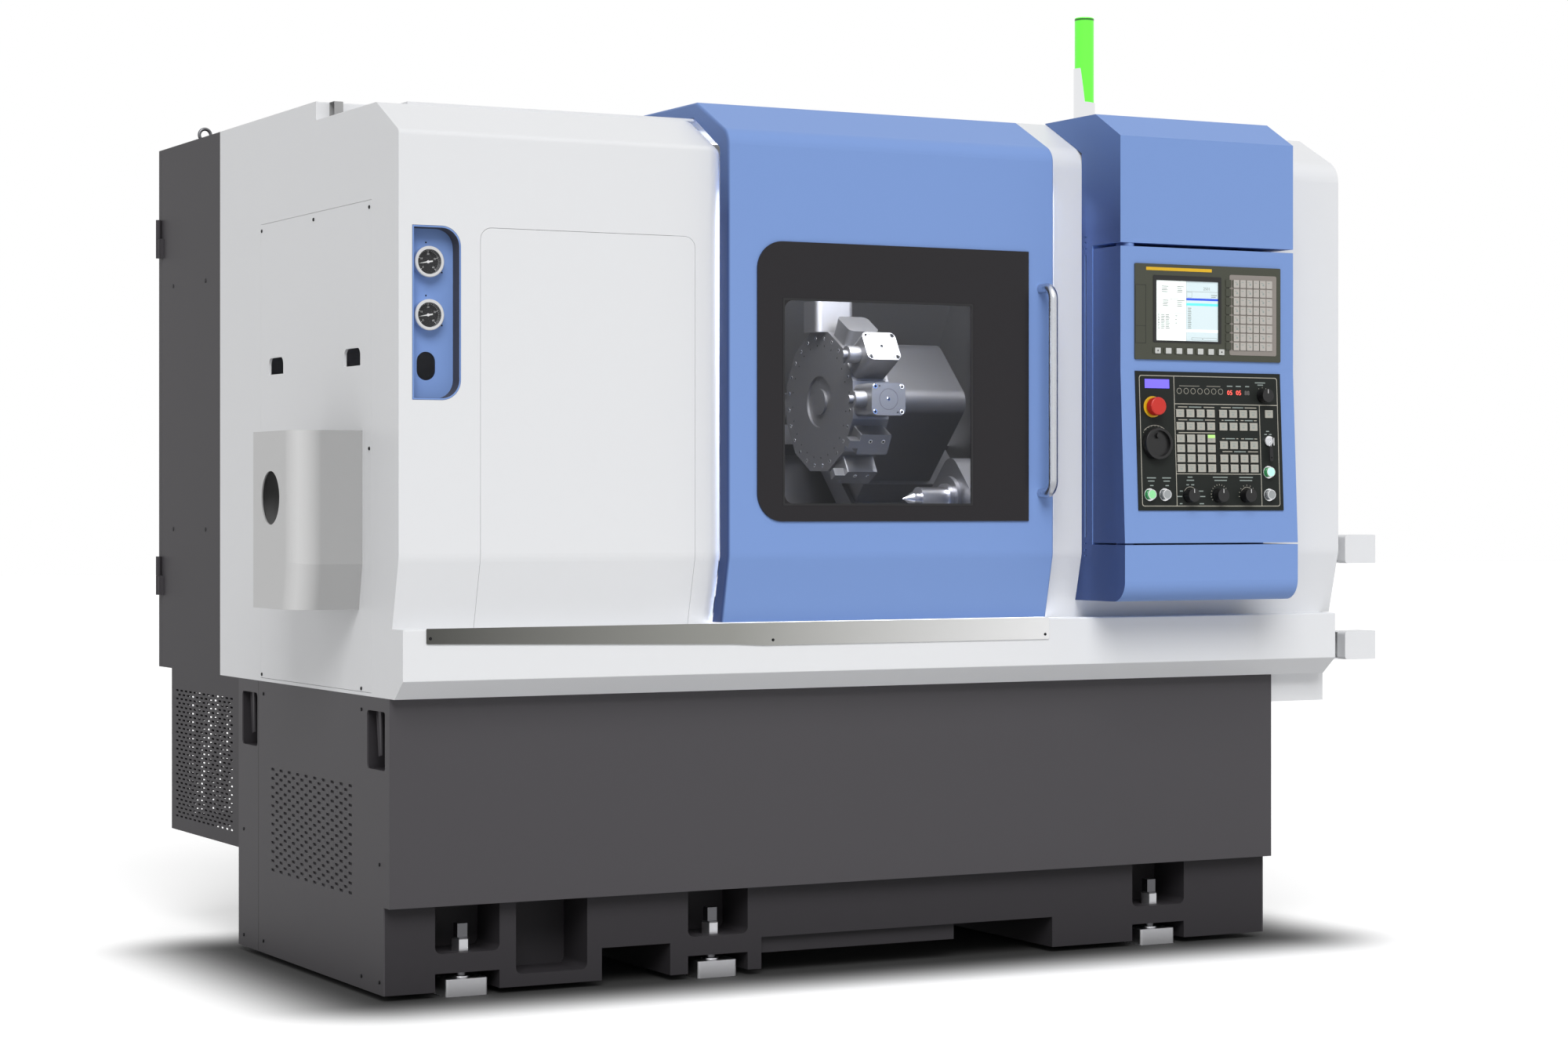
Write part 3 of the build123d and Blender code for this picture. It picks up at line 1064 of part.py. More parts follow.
def pressed_control(place, stem, cap, tall, travel):
    """A cap that stands off by its travel, on a stem that slides in the panel."""
    face = DESK_PROUD + KEY_PROUD
    turned(desk_plane(face + travel + RUN), stem, -CONTROL_SHAFT_IN / 2 - travel,
           at=desk_point(place))
    turned(desk_plane(face + travel + RUN), cap, tall, at=desk_point(place))


def knob(place, radius, tall):
    """A turning knob with its shaft and a flat that shows where it points."""
    at = desk_point(place)
    turned(desk_plane(DESK_PROUD + RUN), CONTROL_SHAFT, -CONTROL_SHAFT_IN + SHEET, at=at)
    turned(desk_plane(DESK_PROUD + RUN), radius, tall, at=at)
    mark = ((at[0] - SHEET / 4, at[1] + radius / 3), (at[0] + SHEET / 4, at[1] + radius / 3),
            (at[0] + SHEET / 4, at[1] + radius), (at[0] - SHEET / 4, at[1] + radius))
    extrude(outline(desk_plane(DESK_PROUD + RUN + tall), mark), amount=-SHEET / 3,
            mode=Mode.SUBTRACT)


with BuildPart() as stop_button:
    pressed_control(STOP_AT, STOP_STEM, STOP_RADIUS, STOP_TALL - STOP_TRAVEL, STOP_TRAVEL)
    cap_edge = stop_button.edges().filter_by(GeomType.CIRCLE).sort_by(Axis.Y)[0]
    fillet(cap_edge, SHEET)
save(stop_button, "stop_button")

BUTTON_NAMES = ("power_on_button", "power_off_button", "cycle_start_button", "feed_hold_button")
for name, place in zip(BUTTON_NAMES, BUTTONS_AT):
    with BuildPart() as button:
        pressed_control(place, BUTTON_STEM, BUTTON_RADIUS, BUTTON_TALL - BUTTON_TRAVEL,
                        BUTTON_TRAVEL)
        chamfer(button.edges().filter_by(GeomType.CIRCLE).sort_by(Axis.Y)[0], 1.0)
    save(button, name)

with BuildPart() as handwheel:
    knob(WHEEL_AT, WHEEL_RADIUS, WHEEL_TALL)
    wheel = desk_point(WHEEL_AT)
    turned(desk_plane(DESK_PROUD + RUN + WHEEL_TALL), WHEEL_RADIUS - SHEET * 2, -SHEET * 2,
           Mode.SUBTRACT, wheel)
    grip_at = (wheel[0], wheel[1] + WHEEL_RADIUS / 2)
    turned(desk_plane(DESK_PROUD + RUN + WHEEL_TALL), SHEET * 2, -SHEET * 2, at=grip_at)
save(handwheel, "handwheel")

KNOB_NAMES = ("override_knob", "mode_selector", "feed_selector", "speed_selector")
for name, place in zip(KNOB_NAMES, (OVERRIDE_AT, *SELECTORS_AT)):
    with BuildPart() as control:
        knob(place, KNOB_RADIUS, KNOB_TALL)
    save(control, name)

with BuildPart() as key_switch:
    knob(KEY_SWITCH_AT, KEY_SWITCH_RADIUS, SHEET * 2)
    lock = desk_point(KEY_SWITCH_AT)
    bow = ((lock[0] - SHEET / 3, lock[1] - KEY_SWITCH_RADIUS),
           (lock[0] + SHEET / 3, lock[1] - KEY_SWITCH_RADIUS),
           (lock[0] + SHEET / 3, lock[1] + SHEET * 2), (lock[0] - SHEET / 3, lock[1] + SHEET * 2))
    extrude(outline(desk_plane(DESK_PROUD), bow), amount=KNOB_TALL)
save(key_switch, "key_switch")

# Electrical cabinet: shell open at the rear, hinge barrels, door and main switch
CABINET_Y = (BODY_DEPTH, BODY_DEPTH + CABINET_DEPTH)
DOOR_SEAT = CABINET_Y[1] - CABINET_DOOR
HINGE_AT = (-HINGE_OUT, DOOR_SEAT + HINGE_RADIUS / 2)
with BuildPart() as cabinet_shell:
    block((0, CABINET_LENGTH), (CABINET_Y[0], DOOR_SEAT - CABINET_DOOR_GAP),
          (BODY_BOTTOM, REAR_ROOF_HEIGHT))
    block((CABINET_SHEET, CABINET_LENGTH - CABINET_SHEET),
          (CABINET_Y[0] + CABINET_SHEET, CABINET_Y[1]),
          (BODY_BOTTOM + CABINET_SHEET, REAR_ROOF_HEIGHT - CABINET_SHEET), Mode.SUBTRACT)
    for start in HINGE_BOTTOMS:
        turned(floor_plane(start), HINGE_RADIUS, HINGE_HEIGHT / 2, at=HINGE_AT)
        turned(floor_plane(start + HINGE_HEIGHT / 2), HINGE_RADIUS / 2, HINGE_HEIGHT / 3,
               at=HINGE_AT)
        block((HINGE_AT[0], 0), (DOOR_SEAT - HINGE_RADIUS * 3, DOOR_SEAT - HINGE_RADIUS),
              (start, start + HINGE_HEIGHT / 2))
        block((HINGE_AT[0] - HINGE_RADIUS / 2, HINGE_AT[0] + HINGE_RADIUS / 2),
              (DOOR_SEAT - HINGE_RADIUS * 2, HINGE_AT[1]), (start, start + HINGE_HEIGHT / 2))
save(cabinet_shell, "cabinet_shell")

SWITCH_AT = (CABINET_LENGTH - SWITCH_FROM_EDGE, SWITCH_HEIGHT)
with BuildPart() as cabinet_door:
    block((0, CABINET_LENGTH), (DOOR_SEAT, CABINET_Y[1]), (BODY_BOTTOM, REAR_ROOF_HEIGHT))
    block((CABINET_SHEET, CABINET_LENGTH - CABINET_SHEET),
          (DOOR_SEAT - CABINET_SHEET, CABINET_Y[1] - CABINET_SHEET),
          (BODY_BOTTOM + CABINET_SHEET, REAR_ROOF_HEIGHT - CABINET_SHEET), Mode.SUBTRACT)
    for start in HINGE_BOTTOMS:
        upper = start + HINGE_HEIGHT / 2 + RUN
        turned(floor_plane(upper), HINGE_RADIUS, HINGE_HEIGHT / 2, at=HINGE_AT)
        block((HINGE_AT[0], 0), (HINGE_AT[1] + HINGE_RADIUS / 2, HINGE_AT[1] + HINGE_RADIUS),
              (upper, upper + HINGE_HEIGHT / 2))
        turned(floor_plane(upper), HINGE_RADIUS / 2 + FIT, HINGE_HEIGHT / 3, Mode.SUBTRACT,
               HINGE_AT)
    turned(front_plane(CABINET_Y[1] - CABINET_SHEET), CONTROL_SHAFT + FIT, -CABINET_SHEET,
           Mode.SUBTRACT, SWITCH_AT)
save(cabinet_door, "cabinet_door")

with BuildPart() as main_switch:
    outside = front_plane(CABINET_Y[1] + RUN)
    turned(outside, SWITCH_RADIUS, -SWITCH_TALL / 2, at=SWITCH_AT)
    turned(outside, CONTROL_SHAFT, SWITCH_TALL / 2, at=SWITCH_AT)
    lever = [(SWITCH_AT[0] + side * SWITCH_RADIUS / 4, SWITCH_AT[1] + end * SWITCH_RADIUS)
             for side, end in ((-1, -1), (1, -1), (1, 1), (-1, 1))]
    extrude(outline(outside, lever, SHEET), amount=RUN - SWITCH_TALL)
save(main_switch, "main_switch")

# Two lifting eyes on the cabinet roof
with BuildPart() as lifting_eyes:
    for x in (EYE_INSET, CABINET_LENGTH - EYE_INSET):
        y = (CABINET_Y[0] + CABINET_Y[1]) / 2
        height = REAR_ROOF_HEIGHT + EYE_WIRE + EYE_RING
        turned(floor_plane(REAR_ROOF_HEIGHT), EYE_COLLAR, EYE_WIRE, at=(x, y))
        middle = Plane(origin=(LEFT + x, FRONT + y, height), x_dir=(1, 0, 0), z_dir=(0, -1, 0))
        with BuildSketch(Plane(origin=middle.origin + Vector(EYE_RING, 0, 0), x_dir=(1, 0, 0),
                               z_dir=(0, 0, 1))) as wire:
            Circle(EYE_WIRE)
        revolve(wire.sketch, Axis(middle.origin, (0, 1, 0)))
save(lifting_eyes, "lifting_eyes")

# Slotted guard under the cabinet: one sheet folded round three sides
with BuildPart() as slotted_guard:
    guard_y = (BASE_REAR, BASE_REAR + GUARD_DEPTH)
    guard_z = (GUARD_BOTTOM, BODY_BOTTOM)
    block((0, GUARD_LENGTH), guard_y, guard_z)
    block((CABINET_SHEET, GUARD_LENGTH - CABINET_SHEET),
          (guard_y[0] - SHEET, guard_y[1] - CABINET_SHEET), (0, BODY_BOTTOM), Mode.SUBTRACT)
    room = (GUARD_DEPTH - GUARD_MARGIN * 2, BODY_BOTTOM - GUARD_BOTTOM - GUARD_MARGIN * 2)
    pitch = (room[0] / GUARD_SLOTS[0], room[1] / GUARD_SLOTS[1])
    places = [(GUARD_MARGIN + (column + 0.5) * pitch[0], GUARD_MARGIN + (line + 0.5) * pitch[1])
              for column in range(GUARD_SLOTS[0]) for line in range(GUARD_SLOTS[1])]
    with BuildSketch(side_plane(0)) as side_slots:
        with Locations(*[(guard_y[0] + y, GUARD_BOTTOM + z) for y, z in places]):
            SlotOverall(SLOT_LENGTH, SLOT_HEIGHT)
    extrude(side_slots.sketch, amount=CABINET_SHEET, mode=Mode.SUBTRACT)
    with BuildSketch(front_plane(guard_y[1])) as rear_slots:
        with Locations(*[(x, GUARD_BOTTOM + z) for x, z in places]):
            SlotOverall(SLOT_LENGTH, SLOT_HEIGHT)
    extrude(rear_slots.sketch, amount=CABINET_SHEET, mode=Mode.SUBTRACT)
save(slotted_guard, "slotted_guard")

# Signal lamp: a lens in a half round holder with a slanted mouth
HOLDER_RADIUS = LAMP_RADIUS + RUN + HOLDER_WALL
with BuildPart() as lamp_lens:
    turned(floor_plane(LAMP_BOTTOM), LAMP_RADIUS, LAMP_TOP - LAMP_BOTTOM,
           at=(LAMP_LEFT, LAMP_DEPTH))
    fillet(lamp_lens.edges().sort_by(Axis.Z)[-1], HOLDER_WALL)
save(lamp_lens, "lamp_lens")

with BuildPart() as lamp_holder:
    lamp = (LAMP_LEFT, LAMP_DEPTH)
    turned(floor_plane(RIGHT_ROOF_HEIGHT), HOLDER_RADIUS, HOLDER_TOP - RIGHT_ROOF_HEIGHT, at=lamp)
    turned(floor_plane(LAMP_BOTTOM), LAMP_RADIUS + RUN, HOLDER_TOP, Mode.SUBTRACT, lamp)
    turned(floor_plane(0), LAMP_RADIUS - HOLDER_WALL, LAMP_BOTTOM - HOLDER_WALL * 2,
           Mode.SUBTRACT, lamp)
    mouth = (
        (LAMP_LEFT - HOLDER_RADIUS * MOUTH_SHARE, LAMP_TOP),
        (LAMP_LEFT - HOLDER_RADIUS * MOUTH_SHARE, HOLDER_TOP),
        (LAMP_LEFT - HOLDER_RADIUS / 2, LAMP_BOTTOM + HOLDER_WALL * 2),
        (LAMP_LEFT + HOLDER_RADIUS * 2, LAMP_BOTTOM), (LAMP_LEFT + HOLDER_RADIUS * 2, LAMP_TOP),
    )
    cut = outline(front_plane(LAMP_DEPTH + HOLDER_RADIUS * 2), mouth)
    extrude(cut, amount=HOLDER_RADIUS * 4, mode=Mode.SUBTRACT)
save(lamp_holder, "lamp_holder")

# Two brackets on the right end: an arm and a dished plate in front of it
with BuildPart() as end_brackets:
    bracket_right = BODY_LENGTH + BRACKET_END
    for bottom in BRACKET_BOTTOMS:
        z = (bottom, bottom + BRACKET_HEIGHT)
        arm = (BODY_LENGTH, bracket_right - SHEET)
        arm_y = (LEDGE_DEPTH, LEDGE_DEPTH + BRACKET_DEEP)
        block(arm, arm_y, z)
        block((arm[0] + SHEET, arm[1]), (arm_y[0], arm_y[1] - SHEET), (z[0] + SHEET, z[1] - SHEET),
              Mode.SUBTRACT)
        plate = (bracket_right - BRACKET_PLATE, bracket_right)
        corners = (BRACKET_CORNER, 0, 0, BRACKET_CORNER)
        front_window(plate, z, (BRACKET_FRONT, LEDGE_DEPTH), corners, Mode.ADD)
        front_window((plate[0] + SHEET, plate[1] - SHEET), (z[0] + SHEET, z[1] - SHEET),
                     (BRACKET_FRONT + SHEET, LEDGE_DEPTH), (BRACKET_CORNER - SHEET, 0, 0,
                                                            BRACKET_CORNER - SHEET))
save(end_brackets, "end_brackets")


def slab(x, along, up, mode=Mode.ADD, radii=0.0):
    """A block in the slanted frame: along the length, up the slant and square to it."""
    points = ((along[0], up[0]), (along[1], up[0]), (along[1], up[1]), (along[0], up[1]))
    extrude(outline(slant_plane(x[0]), points, radii), amount=x[1] - x[0], mode=mode)


def upright(along, up):
    """Depth and height of a point given in the slanted frame."""
    share = cos(radians(SLANT))
    return SPINDLE_DEPTH + (along - up) * share, SPINDLE_HEIGHT + (along + up) * share


# Slant bed, a wedge with four box ways that stand on its face
BED_FOOT = upright(BED_LOW, BED_TOP)
BED_HEAD = upright(BED_HIGH, BED_TOP)
BED_X = (BED_LEFT, BED_RIGHT)
WAYS = [(start, start + WAY_WIDTH) for start in TAIL_WAYS + SADDLE_WAYS]
with BuildPart() as slant_bed:
    wedge = ((BED_FOOT[0], BODY_BOTTOM), (BED_BACK, BODY_BOTTOM), (BED_BACK, BED_HEAD[1]),
             BED_HEAD, BED_FOOT)
    prism(wedge, BED_X)
    for way in WAYS:
        slab(BED_X, way, (BED_TOP, WAY_TOP))
save(slant_bed, "slant_bed")

# Headstock on the ways, with the bore that the spindle turns in
AXIS = (SPINDLE_DEPTH, SPINDLE_HEIGHT)
HEAD_X = (HEAD_LEFT, HEAD_RIGHT)
with BuildPart() as headstock:
    slab(HEAD_X, (-HEAD_HALF, HEAD_HALF), (WAY_TOP, HEAD_TOP), radii=(0, 0, CASTING_WALL,
                                                                     CASTING_WALL))
    turned(side_plane(HEAD_LEFT), SPINDLE_RADIUS + FIT, HEAD_RIGHT - HEAD_LEFT, Mode.SUBTRACT,
           AXIS)
save(headstock, "headstock")

with BuildPart() as spindle_shaft:
    turned(side_plane(SPINDLE_LEFT), CYLINDER_RADIUS, CYLINDER_LENGTH, at=AXIS)
    turned(side_plane(SPINDLE_LEFT), SPINDLE_TAIL_RADIUS, HEAD_LEFT - SPINDLE_LEFT, at=AXIS)
    turned(side_plane(HEAD_LEFT), SPINDLE_RADIUS, CHUCK_LEFT - HEAD_LEFT, at=AXIS)
    turned(side_plane(SPINDLE_LEFT), SPINDLE_BORE, CHUCK_LEFT - SPINDLE_LEFT, Mode.SUBTRACT,
           AXIS)
save(spindle_shaft, "spindle_shaft")


def spoke(x, reach, width, angle, mode=Mode.ADD):
    """A radial bar about the spindle, from reach[0] to reach[1] at an angle."""
    turn = (cos(radians(angle)), sin(radians(angle)))
    ends = ((reach[0], -width / 2), (reach[1], -width / 2), (reach[1], width / 2),
            (reach[0], width / 2))
    points = [(AXIS[0] + out * turn[0] - side * turn[1], AXIS[1] + out * turn[1] + side * turn[0])
              for out, side in ends]
    extrude(outline(side_plane(x[0]), points), amount=x[1] - x[0], mode=mode)


# Three jaw chuck, each jaw keyed into a slot of the face
CHUCK_FACE = CHUCK_LEFT + CHUCK_LENGTH
JAW_ANGLES = (90, 210, 330)
with BuildPart() as chuck_body:
    turned(side_plane(CHUCK_LEFT), CHUCK_RADIUS, CHUCK_LENGTH, at=AXIS)
    chamfer(chuck_body.edges().filter_by(GeomType.CIRCLE).sort_by(Axis.X)[-1], SHEET)
    turned(side_plane(CHUCK_LEFT), SPINDLE_BORE, CHUCK_LENGTH, Mode.SUBTRACT, AXIS)
    for angle in JAW_ANGLES:
        spoke((CHUCK_FACE - JAW_KEY, CHUCK_FACE), (JAW_BOTTOM, CHUCK_RADIUS), JAW_WIDTH / 2,
              angle, Mode.SUBTRACT)
save(chuck_body, "chuck_body")

with BuildPart() as chuck_jaws:
    for angle in JAW_ANGLES:
        spoke((CHUCK_FACE - JAW_KEY, CHUCK_FACE), (JAW_BOTTOM, JAW_STEPS[0][0]), JAW_WIDTH / 2,
              angle)
        for outer, tall in JAW_STEPS:
            spoke((CHUCK_FACE, CHUCK_FACE + tall), (JAW_BOTTOM, outer), JAW_WIDTH, angle)
save(chuck_jaws, "chuck_jaws")

# Saddle on the upper pair of ways, with a lip inside each way
SADDLE_X = (TURRET_LEFT + TURRET_LENGTH + HOUSING_GAP * 2,
            TURRET_LEFT + TURRET_LENGTH + HOUSING_GAP * 2 + SADDLE_LENGTH)
LIP = CASTING_WALL / 2


def lips(x, ways):
    """Keeper strips that run between a pair of ways."""
    lower, upper = ways[0] + WAY_WIDTH + RUN, ways[1] - RUN
    deep = (BED_TOP + LIP / 2, WAY_TOP)
    slab(x, (lower, lower + LIP), deep)
    slab(x, (upper - LIP, upper), deep)


with BuildPart() as saddle:
    slab(SADDLE_X, (SADDLE_LOW, SADDLE_HIGH), (WAY_TOP, SADDLE_TOP))
    lips(SADDLE_X, SADDLE_WAYS)
save(saddle, "saddle")

# Cross slide, which carries the housing of the turret shaft
TURRET_FACE = TURRET_LEFT + TURRET_LENGTH
HOUSING_X = (TURRET_FACE + HOUSING_GAP, TURRET_FACE + HOUSING_GAP + HOUSING_LENGTH)
TURRET_AT = upright(TURRET_OFFSET, 0)
with BuildPart() as cross_slide:
    slab((SADDLE_X[0] + HOUSING_GAP, SADDLE_X[1] - HOUSING_GAP), (SLIDE_LOW, SLIDE_HIGH),
         (SADDLE_TOP, SLIDE_TOP))
    slab(HOUSING_X, (TURRET_OFFSET - HOUSING_HALF, TURRET_OFFSET + HOUSING_HALF),
         (SLIDE_TOP, HOUSING_HALF), radii=(0, 0, CASTING_WALL, CASTING_WALL))
    turned(side_plane(HOUSING_X[0]), TURRET_SHAFT + FIT, HOUSING_LENGTH - CASTING_WALL,
           Mode.SUBTRACT, TURRET_AT)
save(cross_slide, "cross_slide")

TURRET_FLAT = TURRET_RADIUS * cos(radians(180 / TURRET_STATIONS))
STATION_ANGLE = 360 / TURRET_STATIONS
with BuildPart() as turret_disc:
    with BuildSketch(side_plane(TURRET_LEFT)) as rim:
        with Locations(TURRET_AT):
            RegularPolygon(TURRET_RADIUS, TURRET_STATIONS, rotation=STATION_ANGLE / 2)
    extrude(rim.sketch, amount=TURRET_LENGTH)
    turned(side_plane(TURRET_FACE), TURRET_SHAFT,
           HOUSING_GAP + HOUSING_LENGTH - CASTING_WALL - RUN, at=TURRET_AT)
    turned(side_plane(TURRET_LEFT), TURRET_SHAFT, CAP_SUNK, Mode.SUBTRACT, TURRET_AT)
    turned(side_plane(TURRET_LEFT), TURRET_SHAFT / 2, CAP_SUNK, at=TURRET_AT)
save(turret_disc, "turret_disc")


def station_plane(station, out=0.0):
    """The plane of a turret flat: along the length and round the disc."""
    angle = radians(station * STATION_ANGLE)
    outward = Vector(0, -cos(angle), sin(angle))
    center = Vector(LEFT, FRONT + TURRET_AT[0], TURRET_AT[1])
    return Plane(origin=center + outward * (TURRET_FLAT + out), x_dir=(1, 0, 0), z_dir=outward)


def tool_block(station, start, size, corner):
    """A block standing on a turret flat, its far corners rounded."""
    length, width, tall = size
    with BuildSketch(station_plane(station)) as foot:
        with Locations((start + length / 2, 0)):
            RectangleRounded(length, width, corner)
    extrude(foot.sketch, amount=tall)


def nose(station, start, radius, length, out):
    """A round spindle nose that looks along the length towards the chuck."""
    angle = radians(station * STATION_ANGLE)
    reach = TURRET_FLAT + out
    center = (TURRET_AT[0] - reach * cos(angle), TURRET_AT[1] + reach * sin(angle))
    turned(side_plane(start), radius, length, at=center)


BLOCK_LEFT = TURRET_LEFT + (TURRET_LENGTH - BLOCK_LENGTH) / 2
TALL_BLOCK_LEFT = TURRET_LEFT - TALL_BLOCK_OUT
HOLDER_LEFT = TURRET_LEFT + (TURRET_LENGTH - HOLDER_LENGTH) / 2
with BuildPart() as tool_holders:
    for station in (0, 1):
        tool_block(station, BLOCK_LEFT, (BLOCK_LENGTH, BLOCK_WIDTH, BLOCK_AT + BLOCK_HEIGHT),
                   POCKET_RADIUS)
        nose(station, BLOCK_LEFT - NOSE_LENGTH + BLOCK_AT, NOSE_RADIUS, NOSE_LENGTH, NOSE_OUT)
        nose(station, BLOCK_LEFT - NOSE_LENGTH, NOSE_RADIUS / 2, BLOCK_AT, NOSE_OUT)
    tool_block(2, HOLDER_LEFT, (HOLDER_LENGTH, BLOCK_WIDTH, HOLDER_HEIGHT), POCKET_RADIUS)
    tool_block(3, TALL_BLOCK_LEFT, (BLOCK_LENGTH + BLOCK_AT, BLOCK_WIDTH, BLOCK_HEIGHT),
               POCKET_RADIUS)
    for station in (-1, -2, 6):
        tool_block(station, HOLDER_LEFT, (HOLDER_LENGTH, HOLDER_WIDTH, HOLDER_HEIGHT), SHEET)
        with BuildSketch(station_plane(station, HOLDER_HEIGHT - TOOL_SIZE)) as shank:
            with Locations((HOLDER_LEFT - TOOL_REACH / 2, 0)):
                Rectangle(TOOL_REACH, TOOL_SIZE)
        extrude(shank.sketch, amount=TOOL_SIZE)
save(tool_holders, "tool_holders")

# Tailstock, its quill with the bearing housing, and the live center that turns in it
TAIL_X = (TAIL_LEFT, TAIL_LEFT + TAIL_LENGTH)
NOSE_LEFT = TAIL_LEFT - QUILL_OUT / 2
with BuildPart() as tailstock:
    web = ((TAIL_BASE_LOW, WAY_TOP), (TAIL_BASE_HIGH, WAY_TOP), (TAIL_BASE_HIGH, SADDLE_TOP),
           (TAIL_HALF, -TAIL_HALF), (TAIL_HALF, TAIL_HALF), (-TAIL_HALF, TAIL_HALF),
           (-TAIL_HALF, -TAIL_HALF), (TAIL_BASE_LOW, SADDLE_TOP))
    rounded = (0, 0, 0, 0, CASTING_WALL, CASTING_WALL, 0, 0)
    extrude(outline(slant_plane(TAIL_LEFT), web, rounded), amount=TAIL_LENGTH)
    lips(TAIL_X, TAIL_WAYS)
    turned(side_plane(NOSE_LEFT), TAIL_NOSE, QUILL_OUT, at=AXIS)
    turned(side_plane(NOSE_LEFT), QUILL_RADIUS + FIT, QUILL_LENGTH, Mode.SUBTRACT, AXIS)
save(tailstock, "tailstock")

QUILL_LEFT = TAIL_LEFT - QUILL_OUT
BEARING_LEFT = CENTER_NECK_END + RUN
with BuildPart() as quill:
    turned(side_plane(QUILL_LEFT), QUILL_RADIUS, QUILL_LENGTH, at=AXIS)
    turned(side_plane(BEARING_LEFT), CENTER_RADIUS, QUILL_LEFT - BEARING_LEFT, at=AXIS)
    turned(side_plane(BEARING_LEFT), CENTER_SHANK + FIT, CENTER_SHANK_LENGTH + SHEET,
           Mode.SUBTRACT, AXIS)
save(quill, "quill")

with BuildPart() as live_center:
    cone = CENTER_TIP + CENTER_NECK_RADIUS / tan(radians(CENTER_ANGLE / 2))
    shank_end = CENTER_NECK_END + CENTER_SHANK_LENGTH
    profile = (
        (CENTER_TIP, 0), (cone, CENTER_NECK_RADIUS), (CENTER_NECK_END, CENTER_NECK_RADIUS),
        (CENTER_NECK_END, CENTER_SHANK), (shank_end, CENTER_SHANK), (shank_end, 0),
    )
    lifted = [(x, SPINDLE_HEIGHT + out) for x, out in profile]
    axis = Axis((LEFT, FRONT + SPINDLE_DEPTH, SPINDLE_HEIGHT), (1, 0, 0))
    revolve(outline(front_plane(SPINDLE_DEPTH), lifted), axis)
save(live_center, "live_center")

# Guards of the work chamber: two end walls, the falling back and the chute
with BuildPart() as chamber_guard:
    fall = (GUARD_TOP_DEPTH - (WALL_TOP - GUARD_TOP_HEIGHT) / GUARD_FALL, WALL_TOP)
    landing = (GUARD_TOP_DEPTH + (GUARD_TOP_HEIGHT - GUARD_FOOT_HEIGHT) / GUARD_FALL,
               GUARD_FOOT_HEIGHT)
    foot = (BED_BACK, GUARD_FOOT_HEIGHT)
    wall_line = (
        (LEDGE_DEPTH, COVER_BOTTOM), (LEDGE_DEPTH, WALL_SHOULDER),
        (WALL_RIDGE_DEPTH, WALL_TOP), fall, landing, foot, (BED_BACK, BED_HEAD[1]), BED_HEAD,
        BED_FOOT,
    )
    for left in (CHAMBER_LEFT, CHAMBER_RIGHT - SHEET):
        prism(wall_line, (left, left + SHEET))
        for way in WAYS:
            slab((left, left + SHEET), way, (BED_TOP, WAY_TOP), Mode.SUBTRACT)
    turned(side_plane(CHAMBER_LEFT), SPINDLE_RADIUS + SHEET, SHEET, Mode.SUBTRACT, AXIS)
    folded((fall, landing, foot), (CHAMBER_LEFT, CHAMBER_RIGHT), (0, 0, 0), -SHEET)
    chute = ((LEDGE_DEPTH, COVER_BOTTOM), BED_FOOT, (BED_FOOT[0], BED_FOOT[1] - SHEET),
             (LEDGE_DEPTH, COVER_BOTTOM - SHEET))
    prism(chute, (CHAMBER_LEFT, CHAMBER_RIGHT))
save(chamber_guard, "chamber_guard")
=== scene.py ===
# %% [markdown]
# A compact turning lathe, dressed for its portrait. The solid model gives every
# size, so this script only adds a camera, light, finishes and the small things
# that are too fine for the solids: screws, slots, dials, keys and lamps.
# Everything is in metres and in the frame of the solid model.

from math import atan2, cos, pi, radians, sin

import bmesh
import bpy
from mathutils import Matrix, Vector


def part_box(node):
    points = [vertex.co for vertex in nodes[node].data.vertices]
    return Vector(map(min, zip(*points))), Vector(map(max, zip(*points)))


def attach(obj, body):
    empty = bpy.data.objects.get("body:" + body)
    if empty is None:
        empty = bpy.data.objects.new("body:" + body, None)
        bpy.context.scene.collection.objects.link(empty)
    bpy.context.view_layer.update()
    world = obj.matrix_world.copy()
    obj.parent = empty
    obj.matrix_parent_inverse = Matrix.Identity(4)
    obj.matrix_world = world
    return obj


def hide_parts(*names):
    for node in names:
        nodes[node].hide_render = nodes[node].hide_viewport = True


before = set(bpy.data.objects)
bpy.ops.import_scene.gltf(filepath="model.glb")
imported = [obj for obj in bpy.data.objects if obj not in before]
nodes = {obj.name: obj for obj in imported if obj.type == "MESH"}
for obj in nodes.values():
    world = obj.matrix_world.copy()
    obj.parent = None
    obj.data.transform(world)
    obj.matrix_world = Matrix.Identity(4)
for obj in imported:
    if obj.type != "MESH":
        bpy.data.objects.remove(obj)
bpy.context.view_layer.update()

# %% [markdown]
# The drawing of the machine counts lengths from its left side sheet, depths from
# the front of its covers and heights from the floor, in millimetres. One function
# turns such a place into the frame, so a place is written as a fitter would say it.

# %% Places in millimetres
MM = 0.001
DATUM = Vector((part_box("left_side_panel")[0].x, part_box("left_cover")[0].y, 0))


def place(x, y, z):
    """A point from its length, depth and height in millimetres."""
    return DATUM + Vector((x, y, z)) * MM


def facing(point, outward, up=(0, 0, 1)):
    """A little frame on a face: right, up and outward, counted in millimetres."""
    out = Vector(outward).normalized()
    right = Vector(up).cross(out).normalized()
    turn = Matrix((right, out.cross(right), out)).transposed().to_4x4()
    return Matrix.Translation(point) @ turn @ Matrix.Scale(MM, 4)


print("datum of the machine:", [round(v, 4) for v in DATUM])

# %% [markdown]
# The photograph was taken from the left, about as high as the spindle, with a
# long lens. Upright edges stay upright in it, so the camera is level and the
# picture is only shifted a little.

